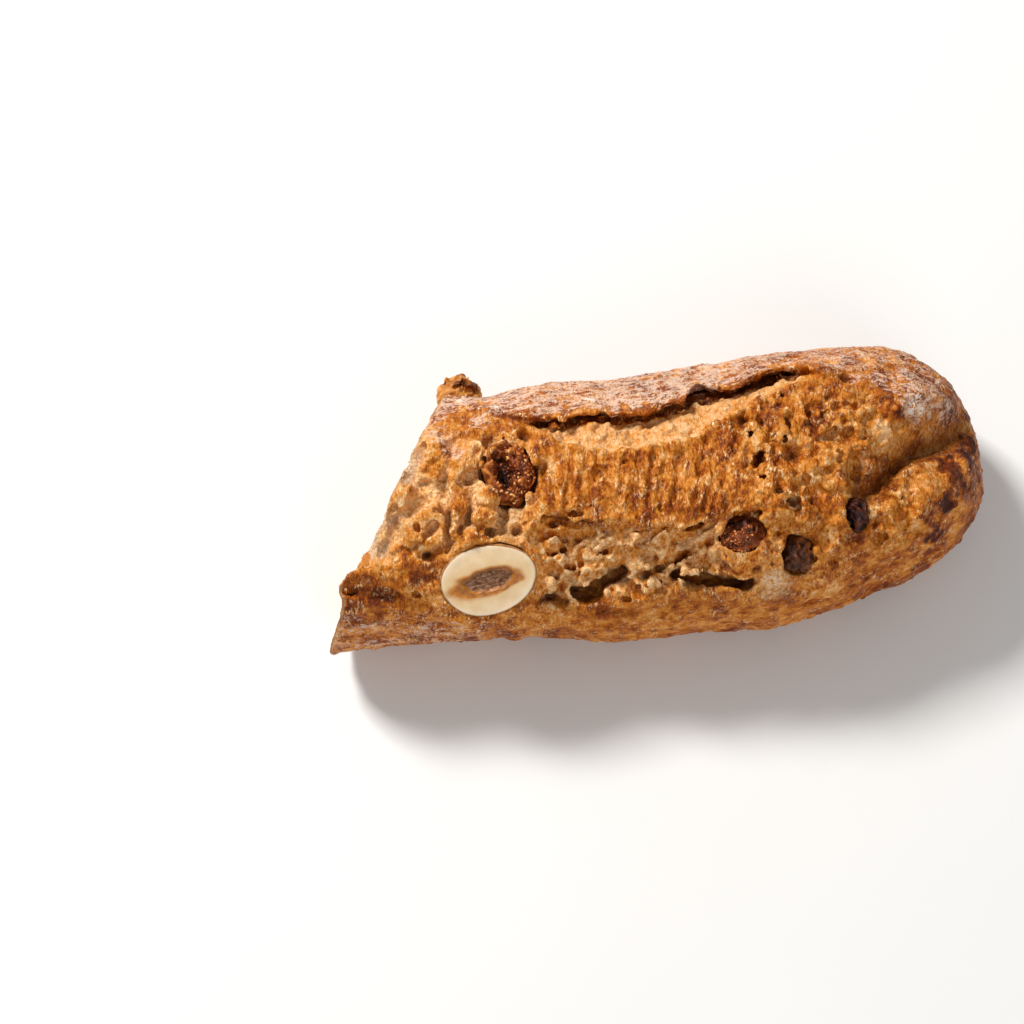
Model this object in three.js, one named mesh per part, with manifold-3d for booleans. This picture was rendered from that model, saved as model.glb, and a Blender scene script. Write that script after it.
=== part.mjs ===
// Fig and hazelnut baguette: the rest of a rustic loaf whose left end is cut off on the bias.
// Millimetres, +Z up, +X towards the uncut round end, origin at the centre of the box's underside.
import * as THREE from 'three';
import { mergeVertices } from 'three/addons/utils/BufferGeometryUtils.js';
import Module from 'manifold-3d';

const wasm = await Module();
wasm.setup();

// ---------- driving dimensions ----------
const TIP_X = 72.8;            // round tip of the loaf, before centring
const START_X = -86;           // the lofted loaf starts here, and the cut then trims it
const LOAF_HEIGHT = [[-80, 42.5], [-50, 43.0], [-20, 43.8], [10, 44.6], [30, 44.2], [50, 41.5], [73, 37.0]];
const BACK_EDGE = [[-80, 30.5], [-50, 29.9], [-38, 28.3], [-26, 29.5], [-8, 29.0], [4, 29.8], [22, 31.3], [34, 32.0], [46, 31.9], [58, 31.4], [73, 30.5]];
const FRONT_EDGE = [[-80, -24.8], [-50, -25.4], [-38, -26.0], [-26, -26.8], [-8, -28.1], [10, -29.4], [22, -29.7], [34, -26.9], [46, -23.3], [58, -19.6], [73, -15.0]];
const WAIST = 0.42;            // the widest level, as a share of the height
const TOP_POWER = 2.15;        // how full the top of the section is
const BASE_POWER = 2.9;        // how square its underside is
const BASE_SPREAD = 1.12;      // past 1 the underside is clipped flat
const CUT = { x: -59.6, perY: 0.56, perZ: 0.10, z: 40 };   // knife cut: x = x + perY*y + perZ*(z - 40)
const EAR_GAP = [[-34, 12.6], [-28, 13.2], [-17.5, 12.1], [-8, 11.7], [1.5, 12.3], [7.5, 15.0], [17.5, 16.3], [25.5, 19.1], [31, 19.8], [38, 20.4]];
const EAR_SPAN = [-31, -25, 27, 35];        // where the slash opens, and where it has closed again
const EAR_GAP_DEPTH = 4.2;
const EAR_GAP_HALF = 1.5;
const EAR_RISE = 1.6;
const STRIP_WIDTH = [[-30, 2.0], [-18, 5.8], [-10, 7.3], [-3, 7.6], [6.5, 8.6], [13.5, 6.6], [20.5, 4.0], [32, 2.0]];
const STRIP_SINK = 1.3;
const BLOOM_RISE = 1.2;
const LIP = [[-27, -10.2], [-15.5, -12.1], [-5, -13.4], [6, -14.0], [12, -14.4]];
const LIP_SPAN = [-30, -25, 4, 10];
const LIP_DROP = 1.5;
const CAVE = [[-30, -23.8, 30], [-22.5, -23.5, 31.5], [-16.5, -22.7, 33.4], [-10, -21.3, 35.8], [-4.5, -21.9, 35.6], [0, -22.9, 34.9], [7, -24.9, 33], [16.5, -26, 32.1]];
const CAVE_DEPTH = 4.0;
const CAVE_HALF = 2.3;
const CREASE = [[72.5, 11.2, 18], [70.6, 10.4, 24], [67.7, 8.1, 30], [59.8, 3.3, 35.7], [53.8, 0.4, 38.8], [50.6, -1.9, 39.8], [46.9, -5.0, 40.4], [43, -8, 40.7]];
const CREASE_DEPTH = 4.2;
const CREASE_HALF = 3.2;
// shallow hollows of the torn crumb: x, y, z, half width, depth
const HOLLOWS = [[-56, 1, 40, 3.4, 1.8], [-53, -5, 41, 3.2, 1.8], [-50.5, 4.5, 42, 3.6, 1.6], [-47.5, -4, 42, 3.2, 1.6],
  [-44.5, 3, 43, 3.0, 1.2], [-40.5, -6.5, 42.5, 3.4, 1.8], [-34, -9.5, 42, 3.6, 2.0], [22, -8.5, 43, 3.6, 1.4],
  [29, -3.5, 44, 3.2, 1.2], [40, -12.9, 39, 4.6, 2.0], [14.5, -15.3, 41, 6.0, 1.8], [26, -20.7, 37, 5.4, 2.0], [-33, 1.5, 43.4, 7.6, 2.2]];
const WAVES = [[0.11, 0.9, 0.35], [0.23, 2.3, 0.22], [0.41, 4.1, 0.13]];   // unevenness: rate, phase, size
const RINGS_BODY = 60, RINGS_END = 13;
// steps around a ring: flank up to the slash, across it, over the top, across the front cave, flank, underside
const STEPS = [5, 4, 8, 4, 4, 10];
const ACROSS_GAP = 8, ACROSS_CAVE = 9;   // degrees each side of the two lines
const GAP = 0.35;              // clearance between a piece and the pocket it sits in
const CENTRE = [-1.555, 1.924];  // middle of the cut loaf's box, which becomes the origin

const NUT = { at: [-40.5, -19.3, 35.6], tilt: 36, turn: 12, length: 21.2, width: 16.0, depth: 8.6, proud: 1.0, cavity: [15.4, 5.4, 2.0], cavityTurn: -5.5 };
const FIG_TOP = { at: [-34.0, 2.7, 39.9], size: [5.5, 7.3, 5.2], dish: 2.4 };
const FIG_SIDE = { at: [14.6, -15.6, 38.0], size: [5.5, 4.3, 4.2] };
const FRUIT = { at: [26.2, -19.8, 34.6], size: [4.0, 4.4, 3.7] };
const RAISIN = { at: [40.2, -12.9, 36.6], size: [2.9, 3.7, 3.6] };
const FIG_BACK = { at: [-42.8, 28.1, 23.6], size: [5.3, 5.4, 5.6] };
// figs met by the knife: s along the cut, z up, half sizes along s, along z and into the loaf
const CUT_FIGS = [{ name: 'fig_cut_large', s: 11, z: 25, size: [5.6, 8.0, 5.0], lean: 16 },
  { name: 'fig_cut_small', s: -15, z: 14.5, size: [3.9, 4.9, 4.4], lean: -20 },
  { name: 'fig_cut_crust', s: -14.5, z: 33.0, size: [3.2, 4.6, 4.0], lean: 28 }];

// ---------- small helpers ----------
const rad = THREE.MathUtils.degToRad;
const smooth = (a, b, t) => THREE.MathUtils.smoothstep(t, a, b);
const bell = (t, w) => Math.exp(-(t / w) * (t / w));
// smooth curve through stations [x, value]
function through(table, x) {
  const n = table.length;
  const slope = (i) => i === 0 ? (table[1][1] - table[0][1]) / (table[1][0] - table[0][0])
    : i === n - 1 ? (table[i][1] - table[i - 1][1]) / (table[i][0] - table[i - 1][0])
      : ((table[i][1] - table[i - 1][1]) / (table[i][0] - table[i - 1][0]) + (table[i + 1][1] - table[i][1]) / (table[i + 1][0] - table[i][0])) / 2;
  const c = Math.min(Math.max(x, table[0][0]), table[n - 1][0]);
  let i = 0;
  while (i < n - 2 && c > table[i + 1][0]) i++;
  const h = table[i + 1][0] - table[i][0], t = (c - table[i][0]) / h;
  return (2 * t ** 3 - 3 * t ** 2 + 1) * table[i][1] + (t ** 3 - 2 * t ** 2 + t) * h * slope(i)
    + (-2 * t ** 3 + 3 * t ** 2) * table[i + 1][1] + (t ** 3 - t ** 2) * h * slope(i + 1);
}
// how far the rounding of the end has gone: 1 on the body, 0 at the tip
function round(x, from, n, m) {
  const q = Math.min(Math.max((x - from) / (TIP_X - from), 0), 1);
  return Math.max(1 - q ** n, 0) ** (1 / m);
}
const span = (s, x) => smooth(s[0], s[1], x) * (1 - smooth(s[2], s[3], x));
function toLine(p, line) {
  let best = 1e9;
  const a = new THREE.Vector3(), b = new THREE.Vector3(), q = new THREE.Vector3();
  for (let i = 0; i + 1 < line.length; i++) {
    new THREE.Line3(a.fromArray(line[i]), b.fromArray(line[i + 1])).closestPointToPoint(p, true, q);
    best = Math.min(best, q.distanceTo(p));
  }
  return best;
}

// ---------- the loaf's skin ----------
function plain(x, th) {
  const yb = through(BACK_EDGE, x) * round(x, 45, 2.7, 2.6), yf = through(FRONT_EDGE, x) * round(x, 50, 2.0, 2.0);
  const mid = (yb + yf) / 2, half = (yb - yf) / 2;
  const h = through(LOAF_HEIGHT, x), waist = WAIST * h;
  const c = Math.cos(th), s = Math.sin(th);
  const y = mid + half * Math.sign(c) * Math.abs(c) ** (2 / 2.1);
  const z = s >= 0 ? waist + (h - waist) * round(x, 38, 2.4, 2.1) * s ** (2 / TOP_POWER)
    : Math.max(waist - BASE_SPREAD * waist * round(x, 52, 2.6, 2.2) * Math.abs(s) ** (2 / BASE_POWER), 0);
  return new THREE.Vector3(x, y, z);
}
function relief(p, th) {
  const up = smooth(10, 24, p.z);                       // nothing of this on the underside
  let d = 0;
  for (const [k, ph, a] of WAVES) d += a * Math.sin(k * p.x * 2.1 + ph + 2 * th) * Math.cos(k * p.y * 3.3 - ph);
  d *= up;
  // slash along the back: ear, gap, pale strip, bloom
  const ear = span(EAR_SPAN, p.x) * smooth(30, 37, p.z);
  const t = p.y - through(EAR_GAP, p.x), strip = through(STRIP_WIDTH, p.x);
  d += ear * (EAR_RISE * bell(t - 2.0, 2.2) - EAR_GAP_DEPTH * bell(t + 0.4, EAR_GAP_HALF));
  d -= ear * STRIP_SINK * smooth(-strip - 1.2, -strip + 0.8, t) * (1 - smooth(-1.0, 0.4, t));
  const lip = p.y - through(LIP, p.x), lipOn = span(LIP_SPAN, p.x) * smooth(26, 34, p.z);
  d += ear * BLOOM_RISE * (1 - smooth(-strip - 2, -strip, t)) * smooth(-1, 2, lip);
  d -= lipOn * LIP_DROP * (1 - smooth(-1.6, 0.6, lip)) * smooth(-11, -5, lip);
  d -= CAVE_DEPTH * bell(toLine(p, CAVE), CAVE_HALF);
  d -= CREASE_DEPTH * bell(toLine(p, CREASE), CREASE_HALF) * smooth(8, 22, p.z);
  for (const [x, y, z, w, depth] of HOLLOWS) d -= depth * bell(Math.hypot(p.x - x, p.y - y, p.z - z), w);
  return d;
}
function skin(x, th) {
  const p = plain(x, th), e = 0.02;
  const dx = plain(Math.min(x + e, TIP_X - 1e-4), th).sub(plain(x - e, th)), dt = plain(x, th + e).sub(plain(x, th - e));
  const n = dt.cross(dx).normalize();
  if (p.z <= 0) return p;
  if (n.lengthSq() > 0.5) p.addScaledVector(n, relief(p, th) * Math.min(1, (TIP_X - x) / 3));
  p.z = Math.max(p.z, 0);
  return p;
}

// grid of rings closed by a point at each end
function closeRings(rings, first, last) {
  const pos = [], idx = [], n = rings[0].length;
  for (const r of rings) for (const v of r) pos.push(v.x, v.y, v.z);
  const a = pos.length / 3; pos.push(first.x, first.y, first.z);
  const b = a + 1; pos.push(last.x, last.y, last.z);
  for (let i = 0; i + 1 < rings.length; i++) for (let j = 0; j < n; j++) {
    const k = (j + 1) % n, p = i * n + j, q = i * n + k, r = p + n, s = q + n;
    idx.push(p, r, q, q, r, s);
  }
  for (let j = 0; j < n; j++) {
    const k = (j + 1) % n;
    idx.push(a, j, k, b, (rings.length - 1) * n + k, (rings.length - 1) * n + j);
  }
  const g = new THREE.BufferGeometry();
  g.setAttribute('position', new THREE.Float32BufferAttribute(pos, 3));
  g.setIndex(idx);
  return g;
}

// ---------- solids ----------
function solid(geometry) {
  let g = geometry.clone();
  g.deleteAttribute('normal'); g.deleteAttribute('uv');
  g = mergeVertices(g, 1e-4);
  const make = (index) => new wasm.Manifold(new wasm.Mesh({ numProp: 3, vertProperties: new Float32Array(g.attributes.position.array), triVerts: new Uint32Array(index) }));
  const index = Array.from(g.index.array);
  let m = make(index);
  if (m.volume() < 0) { for (let i = 0; i < index.length; i += 3) [index[i], index[i + 1]] = [index[i + 1], index[i]]; m = make(index); }
  return m;
}
function meshOf(name, manifold, color, roughness) {
  const m = manifold.getMesh(), g = new THREE.BufferGeometry();
  g.setAttribute('position', new THREE.BufferAttribute(Float32Array.from(m.vertProperties), 3));
  g.setIndex(Array.from(m.triVerts));
  g.translate(-CENTRE[0], -CENTRE[1], 0);
  g.computeVertexNormals();
  const mesh = new THREE.Mesh(g, new THREE.MeshStandardMaterial({ color, roughness, metalness: 0 }));
  mesh.name = name;
  return mesh;
}

// lumpy piece of fruit; dish > 0 hollows its top like a halved fig
function fruitBlob({ at, size, dish = 0 }, grow = 0, seed = 1, segs = 16, rows = 9) {
  const rings = [];
  const point = (f, a) => {
    const lump = 1 + 0.07 * Math.sin(3 * a + seed) * Math.sin(f) + 0.05 * Math.sin(5 * a - 2 * seed) * Math.sin(2 * f) + 0.04 * Math.cos(2 * a + 3 * f + seed);
    const r = Math.sin(f);
    let z = Math.cos(f) * (size[2] + grow) * lump;
    if (dish > 0 && grow === 0 && f < Math.PI / 2) z = Math.min(z, 0.62 * size[2]) - dish * (1 - smooth(0.25, 0.8, r));
    return new THREE.Vector3(at[0] + r * Math.cos(a) * (size[0] + grow) * lump, at[1] + r * Math.sin(a) * (size[1] + grow) * lump, at[2] + z);
  };
  for (let i = 1; i <= rows; i++) {
    const ring = [];
    for (let j = 0; j < segs; j++) ring.push(point(Math.PI * i / (rows + 1), 2 * Math.PI * j / segs));
    rings.push(ring);
  }
  return closeRings(rings, point(0, 0), point(Math.PI, 0));
}

// halved hazelnut, flat face up at z = 0, with the lens-shaped hollow of its two cotyledons
function nutHalf(grow = 0, segs = 28) {
  const a = NUT.length / 2 + grow, b = NUT.width / 2 + grow, h = NUT.depth + grow;
  const [cl, cw, cd] = NUT.cavity, ct = rad(NUT.cavityTurn);
  const outer = (t) => 1 / Math.sqrt((Math.cos(t) / a) ** 2 + (Math.sin(t) / b) ** 2);
  const lens = (t) => 1 / ((Math.abs(Math.cos(t - ct)) / (cl / 2)) ** 1.6 + (Math.abs(Math.sin(t - ct)) / (cw / 2)) ** 1.6) ** (1 / 1.6);
  const steps = grow > 0 ? [[0.5, 1, 0.6 + grow], [1, 1, grow], [1.0, 1, -0.08 * h], [0.95, 1, -0.34 * h], [0.83, 1, -0.6 * h], [0.6, 1, -0.83 * h], [0.3, 1, -0.97 * h]]
    : [[0.55, 0, -cd], [0.9, 0, -cd * 0.6], [1.0, 0, 0], [0.5, 0.5, 0.1], [0.97, 1, 0], [1.0, 1, -0.08 * h], [0.95, 1, -0.34 * h], [0.83, 1, -0.6 * h], [0.6, 1, -0.83 * h], [0.3, 1, -0.97 * h]];
  const rings = steps.map(([k, w, z]) => {
    const ring = [];
    for (let j = 0; j < segs; j++) {
      const t = 2 * Math.PI * j / segs;
      const r = w === 0 ? k * lens(t) : w === 0.5 ? (lens(t) + outer(t)) / 2 : k * outer(t);
      ring.push(new THREE.Vector3(r * Math.cos(t), r * Math.sin(t), z));
    }
    return ring;
  });
  return closeRings(rings, new THREE.Vector3(0, 0, grow > 0 ? 0.6 + grow : -cd), new THREE.Vector3(0, 0, -h));
}
function placeNut(g) {
  const m = new THREE.Matrix4().makeTranslation(...NUT.at)
    .multiply(new THREE.Matrix4().makeRotationX(rad(NUT.tilt)))
    .multiply(new THREE.Matrix4().makeTranslation(0, 0, NUT.proud))
    .multiply(new THREE.Matrix4().makeRotationZ(rad(NUT.turn)));
  return g.clone().applyMatrix4(m);
}

// frame of the cut: s runs along it, n points out of the loaf
const CUT_N = new THREE.Vector3(-1, CUT.perY, CUT.perZ).normalize();
const CUT_S = new THREE.Vector3(CUT.perY, 1, 0).normalize();
const cutPoint = (s, z) => { const y = s * CUT_S.y; return new THREE.Vector3(CUT.x + CUT.perY * y + CUT.perZ * (z - CUT.z), y, z); };
function cutBlock(offset) {
  // a block that covers everything outside the cut
  const depth = 90, g = new THREE.BoxGeometry(depth, 200, 160);
  const up = new THREE.Vector3().crossVectors(CUT_S, CUT_N).normalize();
  const m = new THREE.Matrix4().makeBasis(CUT_N, CUT_S, up);
  if (m.determinant() < 0) m.makeBasis(CUT_N, CUT_S, up.negate());
  const at = cutPoint(0, 22).addScaledVector(CUT_N, depth / 2 + offset);
  return g.applyMatrix4(m.setPosition(at));
}

// ---------- the loaf ----------
const rings = [];
const stations = [];
for (let i = 0; i <= RINGS_BODY; i++) stations.push(START_X + (48 - START_X) * i / RINGS_BODY);
for (let i = 1; i < RINGS_END; i++) stations.push(48 + (TIP_X - 48) * Math.sin(Math.PI / 2 * i / RINGS_END));
stations.push(TIP_X - 0.05);
// the angle at which a ring meets a line that is given by its y along the loaf
function angleAt(x, y, from, to) {
  for (let i = 0; i < 30; i++) {
    const m = (from + to) / 2;
    if (plain(x, m).y > y) from = m; else to = m;
  }
  return (from + to) / 2;
}
const caveLine = CAVE.map(([x, y]) => [x, y]);
for (const x of stations) {
  const xg = Math.min(Math.max(x, EAR_GAP[0][0]), EAR_GAP[EAR_GAP.length - 1][0]), xc = Math.min(Math.max(x, CAVE[0][0]), 18);
  const g = angleAt(xg, through(EAR_GAP, xg) - 0.4, 0, Math.PI / 2), c = angleAt(xc, through(caveLine, xc), Math.PI / 2, Math.PI);
  const marks = [0, g - rad(ACROSS_GAP), g + rad(ACROSS_GAP), c - rad(ACROSS_CAVE), c + rad(ACROSS_CAVE), Math.PI, 2 * Math.PI];
  const ring = [];
  STEPS.forEach((n, k) => { for (let j = 0; j < n; j++) ring.push(skin(x, marks[k] + (marks[k + 1] - marks[k]) * j / n)); });
  rings.push(ring);
}
const tip = plain(TIP_X, 0);
let loaf = solid(closeRings(rings, new THREE.Vector3(START_X, 0, 20), new THREE.Vector3(TIP_X, tip.y, tip.z)));
loaf = loaf.subtract(solid(cutBlock(0)));

const group = new THREE.Group();
const pieces = [];
// the halved nut lies in a pocket of the crust
loaf = loaf.subtract(solid(placeNut(nutHalf(GAP))));
pieces.push(['hazelnut_half', solid(placeNut(nutHalf())), 0xe8d3a4, 0.55]);
for (const [name, spec, seed, color] of [['fig_top', FIG_TOP, 1.3, 0x5a2f1c], ['fig_side', FIG_SIDE, 2.1, 0x55301d],
  ['dark_fruit', FRUIT, 3.4, 0x3d2218], ['raisin', RAISIN, 4.6, 0x2e1a18], ['fig_back', FIG_BACK, 5.2, 0x7a4a22]]) {
  loaf = loaf.subtract(solid(fruitBlob({ ...spec, dish: 0 }, GAP + 0.15, seed)));
  pieces.push([name, solid(fruitBlob(spec, 0, seed)), color, 0.6]);
}
// figs met by the knife are flush with the cut face
const keep = solid(cutBlock(0.0));
for (const f of CUT_FIGS) {
  const m = new THREE.Matrix4().makeBasis(CUT_S, CUT_N.clone(), new THREE.Vector3().crossVectors(CUT_S, CUT_N));
  m.multiply(new THREE.Matrix4().makeRotationY(rad(f.lean))).setPosition(cutPoint(f.s, f.z).addScaledVector(CUT_N, -0.8));
  const blob = (grow) => solid(fruitBlob({ at: [0, 0, 0], size: [f.size[0], f.size[2], f.size[1]] }, grow, f.s + 7, 16, 8).applyMatrix4(m));
  loaf = loaf.subtract(blob(GAP));
  pieces.push([f.name, blob(0).subtract(keep), 0x6b3a20, 0.6]);
}
group.add(meshOf('loaf', loaf, 0xb8713a, 0.8));
for (const [name, manifold, color, roughness] of pieces) group.add(meshOf(name, manifold, color, roughness));

export default group;
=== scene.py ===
# Fig and hazelnut baguette, cut on the bias at its left end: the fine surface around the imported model.
import math
import bpy
import numpy as np
from mathutils import Matrix, Vector


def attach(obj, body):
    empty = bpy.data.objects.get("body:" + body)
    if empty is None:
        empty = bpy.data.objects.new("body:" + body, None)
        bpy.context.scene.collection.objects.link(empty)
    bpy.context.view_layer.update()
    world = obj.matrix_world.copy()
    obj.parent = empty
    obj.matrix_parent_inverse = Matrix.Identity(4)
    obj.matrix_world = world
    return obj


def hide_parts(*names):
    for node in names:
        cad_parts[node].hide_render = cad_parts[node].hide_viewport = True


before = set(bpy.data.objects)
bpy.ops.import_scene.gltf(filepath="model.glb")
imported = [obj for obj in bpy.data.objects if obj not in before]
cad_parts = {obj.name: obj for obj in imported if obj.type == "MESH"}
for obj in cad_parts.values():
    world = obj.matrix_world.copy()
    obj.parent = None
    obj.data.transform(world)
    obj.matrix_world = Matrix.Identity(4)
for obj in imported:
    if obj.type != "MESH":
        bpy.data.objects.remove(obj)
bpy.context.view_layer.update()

MM = 0.001
VOX = 0.36           # fineness of the loaf's surface, mm
SHIFT = np.array([1.555, -1.924, 0.0])  # loaf millimetres to the shared frame
scene = bpy.context.scene

# ------------------------------------------------------------------ helpers
def sm(a, b, t):
    q = np.clip((t - a) / (b - a), 0.0, 1.0)
    return q * q * (3 - 2 * q)

def bell(t, w):
    return np.exp(-(t / w) ** 2)

def smax(a, b, k):
    h = np.clip(0.5 + 0.5 * (a - b) / k, 0.0, 1.0)
    return b + (a - b) * h + k * h * (1 - h)

def tab(x, table):
    """smooth curve through stations (x, value)"""
    xs = np.array([p[0] for p in table], float)
    ys = np.array([p[1] for p in table], float)
    d = np.diff(ys) / np.diff(xs)
    m = np.concatenate([[d[0]], (d[1:] + d[:-1]) / 2, [d[-1]]])
    x = np.clip(x, xs[0], xs[-1])
    i = np.clip(np.searchsorted(xs, x, side="right") - 1, 0, len(xs) - 2)
    h = xs[i + 1] - xs[i]
    t = (x - xs[i]) / h
    return ((2 * t**3 - 3 * t**2 + 1) * ys[i] + (t**3 - 2 * t**2 + t) * h * m[i]
            + (-2 * t**3 + 3 * t**2) * ys[i + 1] + (t**3 - t**2) * h * m[i + 1])

def line_dist(P, line):
    """distance from points to a broken line, in 2 or 3 dimensions"""
    best = None
    L = np.array(line, float)
    for a, b in zip(L[:-1], L[1:]):
        ab = b - a
        t = np.clip(sum((P[k] - a[k]) * ab[k] for k in range(len(a))) / (ab @ ab), 0, 1)
        d = sum((P[k] - a[k] - t * ab[k]) ** 2 for k in range(len(a)))
        best = d if best is None else np.minimum(best, d)
    return np.sqrt(best)

_tables = {}
def vnoise(P, cell, seed, octaves=1, gain=0.5):
    """smooth lattice noise at points P (n, 3), about unit deviation"""
    cell = np.broadcast_to(np.asarray(cell, float), (3,))
    out = np.zeros(len(P))
    amp, tot = 1.0, 0.0
    for o in range(octaves):
        key = seed * 17 + o
        if key not in _tables:
            _tables[key] = np.random.default_rng(key).standard_normal((64, 64, 64)).astype(np.float32)
        T = _tables[key]
        q = P / (cell / 2**o) + 11.3 + 5.7 * o
        i = np.floor(q).astype(np.int64)
        f = q - i
        f = f * f * (3 - 2 * f)
        v = np.zeros(len(P))
        for dx in (0, 1):
            wx = f[:, 0] if dx else 1 - f[:, 0]
            for dy in (0, 1):
                wy = f[:, 1] if dy else 1 - f[:, 1]
                for dz in (0, 1):
                    wz = f[:, 2] if dz else 1 - f[:, 2]
                    v += wx * wy * wz * T[(i[:, 0] + dx) & 63, (i[:, 1] + dy) & 63, (i[:, 2] + dz) & 63]
        out += amp * v * 1.7
        tot += amp * amp
        amp *= gain
    return out / math.sqrt(tot)

# ------------------------------------------------------------------ the loaf's plain form
TIP_X = 72.8
HEIGHT = [(-80, 42.5), (-50, 43.0), (-20, 43.8), (10, 44.6), (30, 44.2), (50, 41.5), (73, 37.0)]
BACK = [(-80, 30.5), (-50, 29.9), (-38, 28.3), (-26, 29.5), (-8, 29.0), (4, 29.8), (22, 31.3), (34, 32.0), (46, 31.9), (58, 31.4), (73, 30.5)]
FRONT = [(-80, -24.8), (-50, -25.4), (-38, -26.0), (-26, -26.8), (-8, -28.1), (10, -29.4), (22, -29.7), (34, -26.9), (46, -23.3), (58, -19.6), (73, -15.0)]
WAIST, SPREAD = 0.42, 1.12
CUT_N = np.array([-1.0, 0.56, 0.10]) / math.sqrt(1 + 0.56**2 + 0.10**2)   # out of the loaf
CUT_S = np.array([0.56, 1.0, 0.0]) / math.hypot(0.56, 1.0)                # along the cut
CUT_U = np.cross(CUT_S, CUT_N)
if CUT_U[2] < 0:
    CUT_U = -CUT_U
def cut_point(s, z):
    y = s * CUT_S[1]
    return np.array([-59.6 + 0.56 * y + 0.10 * (z - 40.0), y, z])
def cut_depth(x, y, z):
    """how far inside the knife cut a point lies"""
    return (x - (-59.6 + 0.56 * y + 0.10 * (z - 40.0))) / math.sqrt(1 + 0.56**2 + 0.10**2)

def rounding(x, start, n, m):
    q = np.clip((x - start) / (TIP_X - start), 0, 1)
    return np.maximum(1 - q**n, 0) ** (1 / m)

def plain(x, y, z):
    """below 0 inside the loaf; x, y, z broadcast"""
    yb = tab(x, BACK) * rounding(x, 45, 2.7, 2.6)
    yf = tab(x, FRONT) * rounding(x, 50, 2.0, 2.0)
    mid, half = (yb + yf) / 2, np.maximum((yb - yf) / 2, 0.25)
    h = tab(x, HEIGHT)
    w = WAIST * h
    up = np.maximum((h - w) * rounding(x, 38, 2.4, 2.1), 0.3)
    dn = np.maximum(SPREAD * w * rounding(x, 52, 2.6, 2.2), 0.3)
    u = np.minimum(np.abs((y - mid) / half), 6) ** 2.1
    v = (z - w)
    v = np.where(v >= 0, np.minimum(np.abs(v / up), 6) ** 2.15, np.minimum(np.abs(v / dn), 6) ** 2.9)
    return (u + v) ** (1 / 2.15) - 1 + np.maximum(x - TIP_X + 0.2, 0)

def surface_normal(p):
    e = 0.25
    g = np.array([float(plain(*(p + d))) - float(plain(*(p - d))) for d in np.eye(3) * e])
    return g / np.linalg.norm(g)

def settle(p):
    """moves a point onto the plain form, and gives the outward normal there"""
    p = np.array(p, float)
    for _ in range(4):
        e = 0.25
        g = np.array([float(plain(*(p + d))) - float(plain(*(p - d))) for d in np.eye(3) * e]) / (2 * e)
        p = p - g * float(plain(*p)) / (g @ g)
    return p, g / np.linalg.norm(g)

# the picture's right and up, laid flat
VIEW_R = np.array([math.cos(math.radians(5.7)), -math.sin(math.radians(5.7)), 0.0])
VIEW_H = np.array([math.sin(math.radians(5.7)), math.cos(math.radians(5.7)), 0.0])
def along(n, angle):
    """unit vector in the surface, at an angle up from the picture's right, and the one across it"""
    a = math.radians(angle)
    d = math.cos(a) * VIEW_R + math.sin(a) * VIEW_H
    d = d - n * (d @ n)
    d /= np.linalg.norm(d)
    return d, np.cross(n, d)

# ------------------------------------------------------------------ where things lie on the loaf, mm
EAR = [(-46, 21.0), (-40.5, 19.0), (-34.5, 15.5), (-28, 13.2), (-17.5, 12.1), (-8, 11.7), (1.5, 12.3), (7, 14.2),
       (10.5, 15.6), (17.5, 16.3), (25.5, 19.1), (30.5, 19.7), (36.5, 18.4), (42.6, 17.5)]
RIDGE = [(-37, 13.0), (-27, 10.6), (-22, 8.0), (-18, 6.3), (-10.5, 4.4), (-3, 4.5), (6.5, 6.0), (13.5, 9.1), (20.5, 13.4), (25.5, 15.6), (31.5, 17.2)]
LIP = [(-28.5, -9.4), (-25.5, -10.6), (-15.5, -12.1), (-5, -13.4), (6, -14.0), (10.5, -12.6)]
LOWLIP = [(-27.5, -21.2), (-22, -20.1), (-17, -18.6), (-13.5, -17.2), (-7.5, -16.0)]
CREASE = [(72.5, 11.6), (70.1, 10.2), (67.7, 7.9), (63.6, 5.5), (59.8, 3.3), (53.8, 0.4), (50.6, -1.9), (46.9, -5.0), (42.2, -8.2), (39.0, -8.4), (39.8, -4.7)]
FRONT_LIP = [(-36, -24.6, 28.5), (-28.5, -25.1, 27.4), (-17, -25.2, 29.3), (-6, -25.5, 30.5), (4.5, -26.9, 29.3), (15.5, -27.9, 28.5),
             (24.5, -27.7, 28.0), (33.5, -25.2, 28.2), (42.6, -21.8, 29.0), (49.4, -17.6, 31.4), (53.1, -13.8, 33.2)]
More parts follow.
